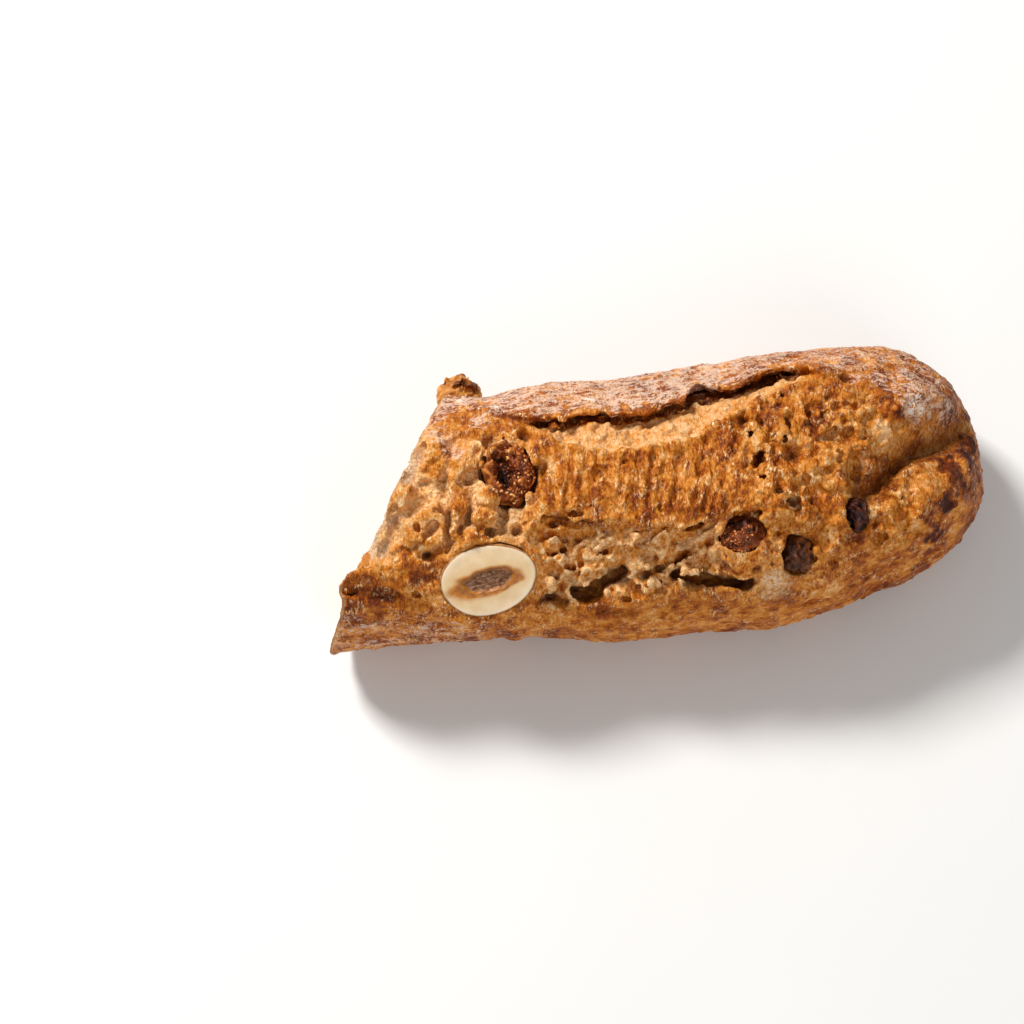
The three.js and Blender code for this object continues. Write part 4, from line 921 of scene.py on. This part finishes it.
def loaf_material():
    s = Shade("crust")
    bake_and_shade, flour, raw, dark, painted_shade, face, crest = (s.attr(k) for k in ("bake_and_shade", "flour", "raw", "dark", "painted_shade", "face", "crest"))
    side = s.attr("side")
    tall = s.stretch((1.8, 0.7, 1.1))
    lengthy = s.turn(s.stretch((1.0, 1.0, 1.0)), -12.0, (0.55, 1.6, 1.6))
    def both(cell, detail, r):
        a = s.noise(cell, detail, r, vec=tall)
        return s.m("MULTIPLY_ADD", side, s.m("SUBTRACT", s.noise(cell, detail, r, vec=lengthy), a), a)
    fine = both(0.62, 2.0, 0.68)
    mid = both(1.25, 3.0, 0.62)
    patch = s.m("MULTIPLY_ADD", s.span(s.noise(3.5, 2.0), 0.35, 0.65), 0.7, 0.35)
    b = s.m("ADD", bake_and_shade, s.m("MULTIPLY", s.m("SUBTRACT", fine, 0.5), patch))
    b = s.m("ADD", b, s.m("MULTIPLY_ADD", mid, 0.95, -0.475))
    b = s.m("ADD", b, s.m("MULTIPLY_ADD", s.noise(3.0, 2.0, 0.5), 0.50, -0.25))
    # painted highlight: what stands out is paler
    b = s.m("MULTIPLY_ADD", crest, -0.10, b)
    b = s.m("MINIMUM", b, 0.80)
    b = s.m("MULTIPLY_ADD", dark, 0.42, b, clamp=True)
    col = s.ramp(b, BAKE)
    # crumb where the crust is torn
    grain = s.noise(0.7, 4.0, 0.65)
    crumb = s.ramp(grain, [(0.30, lin(166, 104, 44)), (0.46, lin(226, 166, 98)), (0.60, lin(255, 224, 174))])
    col = s.mix(s.m("MULTIPLY", raw, s.m("SUBTRACT", 1.0, face)), col, crumb)
    # the cut face: pinkish beige crumb with dense specks
    speck = s.voronoi(0.62)
    web = s.ramp(s.noise(0.5, 3.0, 0.6), [(0.33, lin(158, 116, 84)), (0.47, lin(206, 166, 128)), (0.62, lin(228, 196, 158))])
    cut = s.mix(s.span(speck, 0.10, 0.30, 0.75, 0.0), web, lin(150, 106, 74))
    cut = s.mix(s.span(s.noise(4.0, 2.0), 0.4, 0.7, 0.0, 0.35), cut, lin(222, 182, 138))
    band = s.attr("band")
    cut = s.mix(band, cut, s.ramp(s.noise(0.6, 3.0), [(0.3, lin(150, 92, 48)), (0.7, lin(212, 154, 92))]))
    col = s.mix(face, col, cut)
    # painted shade: deep hollows, caves, the slash gap and the crease darkened to dark brown
    col = s.mix(s.m("MULTIPLY", painted_shade, 0.86), col, lin(72, 35, 12))
    # painted highlights: pale flecks, stronger on what stands out, stand in for glints on the crust
    slant = s.turn(s.stretch((1.0, 1.0, 1.0)), 28.0, (2.2, 0.7, 1.0))
    speckle = s.m("MAXIMUM", s.span(both(0.95, 2.0, 0.6), 0.555, 0.63), s.span(s.noise(1.05, 2.0, 0.6, vec=slant), 0.565, 0.64))
    herd = s.span(s.noise(2.8, 3.0, 0.6), 0.48, 0.58)
    painted_glint = s.m("MULTIPLY", s.m("MULTIPLY", speckle, herd), s.m("MULTIPLY_ADD", crest, 0.55, 0.45), clamp=True)
    painted_glint = s.m("MULTIPLY", painted_glint, s.m("SUBTRACT", 1.0, s.m("MAXIMUM", painted_shade, s.m("MAXIMUM", face, dark))), clamp=True)
    col = s.mix(painted_glint, col, lin(254, 218, 164))
    # flour
    dust = s.noise(0.5, 3.0, 0.75, vec=s.stretch((0.8, 1.2, 1.1)))
    drift = s.noise(1.3, 4.0, 0.66, vec=s.stretch((0.6, 1.0, 1.0)))
    f = s.m("ADD", s.m("MINIMUM", flour, 0.66), s.m("MULTIPLY_ADD", dust, 3.0, -1.56))
    f = s.m("ADD", f, s.m("MULTIPLY_ADD", drift, 3.0, -1.5))
    f = s.m("MULTIPLY", s.span(f, 0.24, 0.70), s.span(flour, 0.02, 0.25), clamp=True)
    col = s.mix(s.m("MULTIPLY", f, s.m("MULTIPLY_ADD", flour, 0.30, 0.58)), col, s.mix(s.span(flour, 0.8, 1.0), lin(236, 202, 178), lin(255, 240, 226)))
    rough = s.m("MULTIPLY_ADD", s.noise(0.9, 2.0), 0.24, 0.34)
    rough = s.m("MULTIPLY_ADD", dark, 0.16, rough)
    rough = s.m("MULTIPLY_ADD", f, 0.35, rough)
    rough = s.m("MULTIPLY_ADD", raw, 0.28, rough, clamp=True)
    blister = s.m("MULTIPLY", s.voronoi(0.85), -0.55)
    h = s.m("ADD", s.m("MULTIPLY", fine, 0.5), s.m("MULTIPLY_ADD", s.noise(0.8, 3.0, 0.6), 0.9, blister))
    n = s.bump(h, 0.46, 1.0)
    return s.finish(col, rough, n, Specular_IOR_Level=0.18)

MAT_LOAF = loaf_material()
uv = chart_uv(V, Q, NB)
loaf = mesh_piece("loaf_crust", V, Q, MAT_LOAF, dict(bake_and_shade=bake_and_shade, flour=flour, raw=raw, dark=dark, painted_shade=painted_shade, face=face, band=crustband, crest=crest, side=front * 0.7 * sm(-32, -8, x) * (1 - 0.6 * sm(60, 68, x))), uv, "loaf")
print("loaf faces", len(loaf.data.polygons))

# ------------------------------------------------------------------ fruit and nut
import bmesh
def ball(sub):
    bm = bmesh.new()
    bmesh.ops.create_icosphere(bm, subdivisions=sub, radius=1.0)
    P = np.array([v.co[:] for v in bm.verts])
    F = np.array([[v.index for v in f.verts] for f in bm.faces])
    bm.free()
    return P, F
BALL, BALL_F = ball(6)
BALL_S, BALL_SF = ball(2)
SUB = BALL

def ridged(P, cell, seed, octaves=2):
    return 1 - np.abs(vnoise(P, cell, seed, octaves)) * 1.2

seed_parts, seed_tone = [], []
def scatter_seeds(P, F, pick, count, size, seed, sink=0.25, gap=1.35, tone=0.5):
    """small flattened seeds lying on a surface"""
    rng = np.random.default_rng(seed)
    N = vertex_normals(P, F)
    idx = np.flatnonzero(pick)
    rng.shuffle(idx)
    kept = []
    for i in idx:
        if len(kept) >= count:
            break
        if kept and np.min(np.sum((P[kept] - P[i])**2, 1)) < (size * gap)**2:
            continue
        kept.append(i)
    for i in kept:
        n = N[i]
        a = rng.standard_normal(3); a -= n * (a @ n); a /= np.linalg.norm(a)
        b = np.cross(n, a)
        k = size * (0.75 + 0.5 * rng.random())
        tilt = 0.35 * rng.standard_normal()
        n2 = n * math.cos(tilt) + a * math.sin(tilt)
        a2 = a * math.cos(tilt) - n * math.sin(tilt)
        S = BALL_S.copy()
        pinch = 1 - 0.28 * (S[:, 0] + 1) / 2
        Q3 = np.outer(S[:, 0] * 0.62 * k, a2) + np.outer(S[:, 1] * 0.46 * k * pinch, b) + np.outer(S[:, 2] * 0.34 * k * pinch, n2)
        seed_parts.append(P[i] + n * k * (0.34 - sink) + Q3)
        base_tone = tone if np.isscalar(tone) else tone[i]
        seed_tone.append(np.full(len(S), base_tone + 0.20 * rng.standard_normal()))

def flesh_material(name, deep, mid, light, rough=0.42, cell=1.1, bump=0.3, coat=0.0):
    s = Shade(name)
    tone = s.attr("tone")
    v = s.m("ADD", tone, s.m("MULTIPLY_ADD", s.noise(cell, 4.0, 0.62), 0.7, -0.35))
    v = s.m("ADD", v, s.m("MULTIPLY_ADD", s.noise(0.35, 2.0, 0.6), 0.3, -0.15), clamp=True)
    col = s.ramp(v, [(0.0, deep), (0.5, mid), (1.0, light)])
    r = s.m("MULTIPLY_ADD", s.noise(0.8, 2.0), 0.3, rough - 0.15, clamp=True)
    n = s.bump(s.noise(0.45, 3.0, 0.6), bump, 0.8)
    return s.finish(col, r, n, Specular_IOR_Level=0.22, Coat_Weight=coat, Coat_Roughness=0.15)

MAT_FIG = flesh_material("fig_flesh", lin(44, 16, 6), lin(142, 66, 22), lin(222, 146, 66), 0.34, 1.0, 0.34, 0.06)
MAT_GOLD = flesh_material("fig_sugar", lin(92, 38, 14), lin(194, 118, 46), lin(232, 168, 88), 0.34, 1.4, 0.34, 0.06)
MAT_DARK = flesh_material("dark_fruit", lin(60, 28, 10), lin(134, 74, 32), lin(196, 122, 60), 0.36, 1.6, 0.34, 0.04)
MAT_RAISIN = flesh_material("raisin_skin", lin(38, 12, 6), lin(90, 36, 20), lin(190, 116, 84), 0.32, 1.3, 0.3, 0.08)

def seed_material():
    s = Shade("fig_seed")
    v = s.m("ADD", s.attr("tone"), s.m("MULTIPLY_ADD", s.noise(0.5, 2.0), 0.5, -0.25), clamp=True)
    col = s.ramp(v, [(0.0, lin(84, 32, 12)), (0.35, lin(150, 70, 26)), (0.65, lin(206, 116, 48)), (1.0, lin(246, 186, 112))])
    return s.finish(col, 0.26, s.bump(s.noise(0.25, 1.0), 0.06, 0.5), Specular_IOR_Level=0.4)
MAT_SEED = seed_material()

def blob(spec, seed, wrinkle, cell, lumps=0.06):
    """a dried fruit: an ellipsoid with lumps and folds; points in mm, faces, fold ridges and lumps"""
    c, r = np.array(spec["at"]), np.array(spec["size"])
    P = BALL * r
    w = ridged(P + seed * 7.7, cell, seed, 2)
    l = vnoise(P, cell * 2.4, seed + 50)
    f = 1 + lumps * l + wrinkle * (w - 0.75)
    return c + P * f[:, None], BALL_F, w, l

# the fig that stands open on top
c, r = np.array(FIG_TOP["at"]), np.array(FIG_TOP["size"])
U = BALL.copy()
rho = np.hypot(U[:, 0], U[:, 1])
ang = np.arctan2(U[:, 1], U[:, 0])
out = 1 + 0.05 * np.sin(2 * ang + 0.6) + 0.04 * np.sin(3 * ang + 2.0) + 0.02 * np.sin(7 * ang) + 0.015 * np.sin(11 * ang + 1)
P = U * r * np.stack([out, out, np.ones_like(out)], 1)
upm = U[:, 2] > 0
P[:, 2] = np.where(upm, 0.88 * r[2] * np.maximum(1 - rho**3.2, 0) ** 0.42, P[:, 2])
# a deep hollow left of the middle, a seeded ridge that runs into it from the upper right
rin = np.hypot((U[:, 0] + 0.16) / 0.62, (U[:, 1] - 0.04) / 0.98)
bowl = (1 - sm(0.30, 0.78, rin + 0.07 * np.sin(3 * ang) + 0.06 * np.sin(5 * ang + 1))) * upm
spine = bell(U[:, 1] - 0.40 - 0.25 * U[:, 0], 0.17) * sm(-0.25, 0.15, U[:, 0]) * upm
P[:, 2] -= 4.2 * bowl - 2.2 * spine * bowl
gr = vnoise(P, 1.15, 71, 2)
lump = vnoise(P, 2.2, 72)
wall = sm(0.62, 0.80, rho) * sm(0.45, -0.25, U[:, 0] - 0.8 * U[:, 1]) * upm
P[:, 2] += upm * (0.30 * gr + 0.30 * lump * (1 - bowl)) + 0.55 * wall * (0.6 + 0.4 * lump)
P[:, :2] *= (1 + 0.035 * vnoise(P, 2.0, 73))[:, None]
side = (~upm) * 0.25
P = P @ turned(FIG_TOP["turn"]).T + c
# painted shade: the tone falls in the deep hollow, for the flesh and its seeds
tone = np.clip(0.38 - 0.38 * bowl + 0.14 * spine + 0.14 * wall + side + 0.14 * gr, 0, 1)
mesh_piece("fig_top_half", P, BALL_F, MAT_FIG, dict(tone=tone), None, "fig_top")
scatter_seeds(P, BALL_F, upm & (rho < 0.97) & (wall < 0.5), 150, 0.72, 81, gap=0.84, sink=0.36, tone=np.clip(0.42 - 0.50 * bowl + 0.40 * spine + 0.2 * sm(0.2, -0.6, U[:, 1]), 0, 1))

# figs on the side and at the back
P, F, w, l = blob(FIG_SIDE, 5, 0.05, 2.6, 0.04)
low = sm(0.45, -0.4, BALL[:, 1] + 0.30 * BALL[:, 0] + 0.15 * l) * sm(-0.2, 0.3, BALL[:, 2])
rimg = sm(0.5, 0.9, BALL[:, 0] - 0.4 * BALL[:, 1]) * sm(-0.3, 0.2, BALL[:, 2])
P[:, 2] -= 1.1 * bell(np.hypot(BALL[:, 0] + 0.25, BALL[:, 1] - 0.25), 0.5) * sm(0, 0.3, BALL[:, 2])
P += vertex_normals(P, F) * (0.16 * vnoise(P, 1.2, 94, 2))[:, None]
mesh_piece("fig_side_piece", P, F, MAT_FIG, dict(tone=np.clip(0.24 + 0.30 * low + 0.28 * rimg + 0.10 * l + 0.12 * (w - 0.7), 0, 1)), None, "fig_side")
scatter_seeds(P, F, (low > 0.40) & (BALL[:, 0] < 0.45), 75, 0.52, 82, gap=0.85, sink=0.42, tone=np.clip(0.30 + 0.26 * low, 0, 1))
P, F, w, l = blob(FRUIT, 6, 0.10, 3.0, 0.09)
P += vertex_normals(P, F) * (0.18 * vnoise(P, 1.4, 95, 2))[:, None]
mesh_piece("dark_fruit_piece", P, F, MAT_DARK, dict(tone=np.clip(0.30 + 0.30 * (w - 0.7) + 0.12 * l + 0.35 * sm(0.1, 0.9, BALL[:, 1] * 0.8 + BALL[:, 0] * 0.3), 0, 1)), None, "dark_fruit")
P, F, w, l = blob(RAISIN, 7, 0.13, 2.3, 0.07)
fine_fold = np.clip(1 - 2.2 * np.abs(vnoise(P, (1.4, 0.9, 1.2), 96)), 0, 1)
P += vertex_normals(P, F) * (0.16 * fine_fold)[:, None]
# painted highlight: the tone rises along the fold ridges, for the glints on them
mesh_piece("raisin_piece", P, F, MAT_RAISIN, dict(tone=np.clip(0.18 + 0.32 * (w - 0.72) + 0.08 * l + 0.30 * fine_fold, 0, 1)), None, "raisin")
P, F, w, l = blob(FIG_BACK, 8, 0.07, 3.0, 0.06)
far = sm(0.34, 0.66, BALL[:, 2] * 0.75 + BALL[:, 1] * 0.5 + 0.25 * l)
crinkle = np.clip(1 - 2.0 * np.abs(vnoise(P, (2.6, 1.5, 1.8), 97)), 0, 1)
P += vertex_normals(P, F) * ((0.12 * vnoise(P, 1.6, 91, 2) - 0.34 * crinkle + far * (0.45 * vnoise(P, 1.7, 93, 2) - 0.7)))[:, None]
mesh_piece("fig_back_piece", P, F, MAT_GOLD, dict(tone=np.clip(0.90 - 0.80 * far * sm(-1.1, 0.3, vnoise(P, 1.8, 92)) + 0.10 * (w - 0.7) + 0.08 * l, 0, 1)), None, "fig_back")

# cut figs, level with the crumb
for j, f in enumerate(CUT_FIGS):
    e1, e2 = fig_axes(f)
    n, m = 120, 34
    th = np.linspace(0, 2 * np.pi, n, endpoint=False)
    edge = 1 + 0.05 * np.sin(2 * th + j) + 0.05 * np.sin(3 * th + 2 * j + 1) + 0.10 * np.sin(th + math.pi / 2) * 0.6
    rows = []
    ring = np.concatenate([np.linspace(0, 0.86, m), [0.90, 0.94, 0.97, 0.99, 1.0]])
    for q in ring[1:]:
        top = 0.16 if q < 0.97 else (0.13 if q < 0.995 else 0.02)
        rows.append(np.stack([q * edge * np.cos(th), q * edge * np.sin(th), np.full(n, top)], 1))
    for a in np.linspace(0.15, 1.0, 12)[:-1]:
        q = math.cos(a * math.pi / 2)
        rows.append(np.stack([q * edge * np.cos(th), q * edge * np.sin(th), np.full(n, -math.sin(a * math.pi / 2) * f["size"][2])], 1))
    L = np.concatenate([[[0, 0, 0.16]]] + rows + [[[0, 0, -f["size"][2]]]])
    L[:, 0] *= f["size"][0]; L[:, 1] *= f["size"][1]
    P = cut_point(f["s"], f["z"]) + np.outer(L[:, 0], e1) + np.outer(L[:, 1], e2) + np.outer(L[:, 2], CUT_N)
    k = len(rows)
    F = []
    for i in range(n):
        F.append((0, 1 + i, 1 + (i + 1) % n))
        for a in range(k - 1):
            p0, p1 = 1 + a * n + i, 1 + a * n + (i + 1) % n
            q0, q1 = p0 + n, p1 + n
            F.append((p0, q0, q1)); F.append((p0, q1, p1))
        F.append((1 + (k - 1) * n + i, len(P) - 1, 1 + (k - 1) * n + (i + 1) % n))
    F = np.array(F)
    if np.einsum("ij,j->i", face_normals(P, F[:1]), CUT_N)[0] < 0:
        F = F[:, ::-1]
    rr = np.hypot(L[:, 0] / f["size"][0], L[:, 1] / f["size"][1]) / np.concatenate([[1], np.tile(edge, k), [1]])
    on = L[:, 2] > 0.1
    g = vnoise(P, 1.2, 120 + j, 2)
    P = P + np.outer(on * (0.22 * g * sm(0.9, 0.7, rr) - 0.25 * sm(0.55, 0.1, rr)), CUT_N)
    tone = np.clip(0.34 + 0.60 * sm(0.74, 0.92, rr + 0.05 * g) - 0.14 * sm(0.5, 0.15, rr) + 0.08 * g, 0, 1)
    mesh_piece(f["node"] + "_face", P, F, MAT_FIG, dict(tone=tone), None, f["node"])
    scatter_seeds(P, F, on & (rr < 0.78), int(120 * f["size"][0] * f["size"][1] / 44), 0.72, 140 + j, sink=0.36, gap=0.92, tone=np.clip(0.55 - 0.25 * sm(0.5, 0.1, rr) + 0.15 * g, 0, 1))

SP = np.concatenate(seed_parts)
SF = np.concatenate([BALL_SF + i * len(BALL_S) for i in range(len(seed_parts))])
mesh_piece("fig_seeds", SP, SF, MAT_SEED, dict(tone=np.concatenate(seed_tone)), None)

# half a hazelnut, cut face up
n, L, W = 192, NUT["length"] / 2, NUT["width"] / 2
th = np.linspace(0, 2 * np.pi, n, endpoint=False)
edge = 1 - 0.022 * np.sin(2 * th) + 0.020 * np.sin(3 * th + 1.2) + 0.006 * np.sin(5 * th)
ct, cm = math.radians(-2.5), (-0.3, -0.1)
rows = []
for q in np.concatenate([np.linspace(0, 0.93, 64)[1:], [0.95, 0.965, 0.98, 0.99, 1.0]]):
    zz = -0.30 * q**2 - (0.55 * max(0.0, (q - 0.93) / 0.07) ** 2.2)
    rows.append(np.stack([q * edge * np.cos(th) * L, q * edge * np.sin(th) * W, np.full(n, zz)], 1))
for a in np.linspace(0.0, 1.0, 22)[1:-1]:
    q = math.cos(a * math.pi / 2) ** 0.9
    rows.append(np.stack([q * edge * np.cos(th) * L, q * edge * np.sin(th) * W, np.full(n, -0.85 - math.sin(a * math.pi / 2) * (NUT["depth"] - 0.85))], 1))
P = np.concatenate([[[0, 0, 0.0]]] + rows + [[[0, 0, -NUT["depth"]]]])
on = np.arange(len(P)) < 1 + 64 * n
cu = (P[:, 0] - cm[0]) * math.cos(ct) + (P[:, 1] - cm[1]) * math.sin(ct)
cv = -(P[:, 0] - cm[0]) * math.sin(ct) + (P[:, 1] - cm[1]) * math.cos(ct)
q = np.sqrt(np.abs(cu / 6.6) ** 1.7 + (cv / 2.7) ** 2) + 0.035 * vnoise(P, 1.6, 160)
lowl = sm(0.6, -0.6, cv / 2.7) * sm(0.9, -0.9, cu / 6.6)          # the lower left, where the stain is broadest
cav = on * (1 - sm(0.72, 0.96, q))
edgeline = on * np.exp(-((q - 0.97) / 0.08) ** 2) * (0.55 + 0.45 * sm(-0.2, 0.7, cv / 2.7))
halo = on * np.exp(-(np.maximum(q - 1.04, 0) / (0.13 + 0.20 * lowl)) ** 2) * sm(0.70, 0.88, q)
P[:, 2] -= 0.9 * cav
P[:, 2] += on * (0.16 * cav * vnoise(P, (0.9, 2.4, 1.0), 161, 2) + 0.035 * vnoise(P, 2.5, 162))
rimm = np.zeros(len(P)); rimm[1 + 64 * n:] = 1.0
k = len(rows)
F = []
for i in range(n):
    F.append((0, 1 + i, 1 + (i + 1) % n))
    for a in range(k - 1):
        p0, p1 = 1 + a * n + i, 1 + a * n + (i + 1) % n
        F.append((p0, p0 + n, p1 + n)); F.append((p0, p1 + n, p1))
    F.append((1 + (k - 1) * n + i, len(P) - 1, 1 + (k - 1) * n + (i + 1) % n))
F = np.array(F)
NUT_FLAT = P
P = NUT_C + P @ NUT_R.T

def nut_material():
    s = Shade("hazelnut")
    cav, halo, skin, line = s.attr("cavity"), s.attr("halo"), s.attr("skin"), s.attr("edgeline")
    base = s.ramp(s.noise(3.2, 3.0, 0.55), [(0.3, lin(236, 202, 154)), (0.55, lin(246, 216, 174)), (0.75, lin(252, 230, 198))])
    base = s.mix(s.span(s.noise(0.5, 2.0), 0.35, 0.75, 0.0, 0.18), base, lin(224, 194, 138))
    base = s.mix(s.span(s.attr("rim"), 0.0, 1.0, 0.0, 0.55), base, lin(250, 232, 206))
    base = s.mix(s.m("MULTIPLY", s.attr("stain"), 0.45), base, lin(226, 180, 100))
    col = s.mix(s.m("MULTIPLY", halo, 1.25, clamp=True), base, s.ramp(s.noise(1.2, 2.0), [(0.3, lin(164, 88, 0)), (0.7, lin(214, 134, 6))]))
    streak = s.noise(0.8, 4.0, 0.62, 0.5, vec=s.turn(s.stretch((1.0, 1.0, 1.0)), -16.0, (0.6, 1.5, 1.5)))
    inner = s.ramp(streak, [(0.34, lin(96, 56, 28)), (0.5, lin(138, 88, 52)), (0.68, lin(200, 160, 130))])
    col = s.mix(cav, col, inner)
    col = s.mix(s.m("MULTIPLY", line, 0.80), col, lin(112, 58, 4))
    col = s.mix(skin, col, s.ramp(s.noise(1.4, 3.0), [(0.3, lin(120, 70, 34)), (0.7, lin(196, 142, 88))]))
    r = s.m("MULTIPLY_ADD", cav, 0.25, 0.42)
    nrm = s.bump(s.m("ADD", s.m("MULTIPLY", s.noise(0.5, 3.0), 0.5), s.m("MULTIPLY", s.m("MULTIPLY", streak, cav), 1.6)), 0.14, 0.7)
    return s.finish(col, r, nrm, Subsurface_Weight=0.05, Subsurface_Radius=(0.0016, 0.0010, 0.0005), Subsurface_Scale=1.0)
rim_light = on * sm(0.80, 0.97, np.hypot((NUT_FLAT[:, 0]) / L, (NUT_FLAT[:, 1]) / W))
mesh_piece("hazelnut_half_piece", P, F, nut_material(), dict(cavity=cav, halo=halo, skin=rimm, edgeline=edgeline, rim=rim_light, stain=on * bell(np.maximum(q - 1.0, 0), 0.75)), None, "hazelnut_half")

# ------------------------------------------------------------------ floor, light, camera
me = bpy.data.meshes.new("floor")
me.from_pydata([(-3, -3, 0), (3, -3, 0), (3, 3, 0), (-3, 3, 0)], [], [(0, 1, 2, 3)])
floor = bpy.data.objects.new("floor", me)
scene.collection.objects.link(floor)
fs = Shade("pale_floor")
me.materials.append(fs.finish(fs.mix(fs.noise(60.0, 2.0), (0.86, 0.86, 0.855, 1), (0.88, 0.88, 0.875, 1)), 0.7))

world = bpy.data.worlds.new("studio")
scene.world = world
world.use_nodes = True
bg = world.node_tree.nodes["Background"]
bg.inputs[0].default_value = (1.0, 0.985, 0.965, 1)
bg.inputs[1].default_value = 0.32

def area(name, loc, target, size, power, color=(1, 1, 1)):
    l = bpy.data.lights.new(name, "AREA")
    l.shape = "SQUARE"; l.size = size; l.energy = power; l.color = color
    o = bpy.data.objects.new(name, l)
    scene.collection.objects.link(o)
    o.location = loc
    o.rotation_euler = (Vector(target) - Vector(loc)).to_track_quat("-Z", "Y").to_euler()
    return o
area("key", (-0.50, 0.58, 0.80), (0, 0, 0.02), 0.24, 12.8, (1.0, 0.985, 0.955))
area("fill", (0.25, -0.9, 0.6), (0, 0, 0.02), 0.7, 3.4)

phi_c, el = math.radians(5.7), math.radians(70.0)
Rv = Vector((math.cos(phi_c), -math.sin(phi_c), 0))
Hv = Vector((math.sin(phi_c), math.cos(phi_c), 0))
Dv = Hv * math.cos(el) - Vector((0, 0, 1)) * math.sin(el)
Uv = Hv * math.sin(el) + Vector((0, 0, 1)) * math.cos(el)
cam = bpy.data.cameras.new("camera")
cam.lens, cam.sensor_width = 100.0, 36.0
co = bpy.data.objects.new("camera", cam)
scene.collection.objects.link(co)
C = Vector((-0.05481 + SHIFT[0] * MM, -0.21425 + SHIFT[1] * MM, 0.61477))
co.matrix_world = Matrix(((Rv.x, Uv.x, -Dv.x, C.x), (Rv.y, Uv.y, -Dv.y, C.y), (Rv.z, Uv.z, -Dv.z, C.z), (0, 0, 0, 1)))
scene.camera = co
scene.view_settings.view_transform = "Standard"
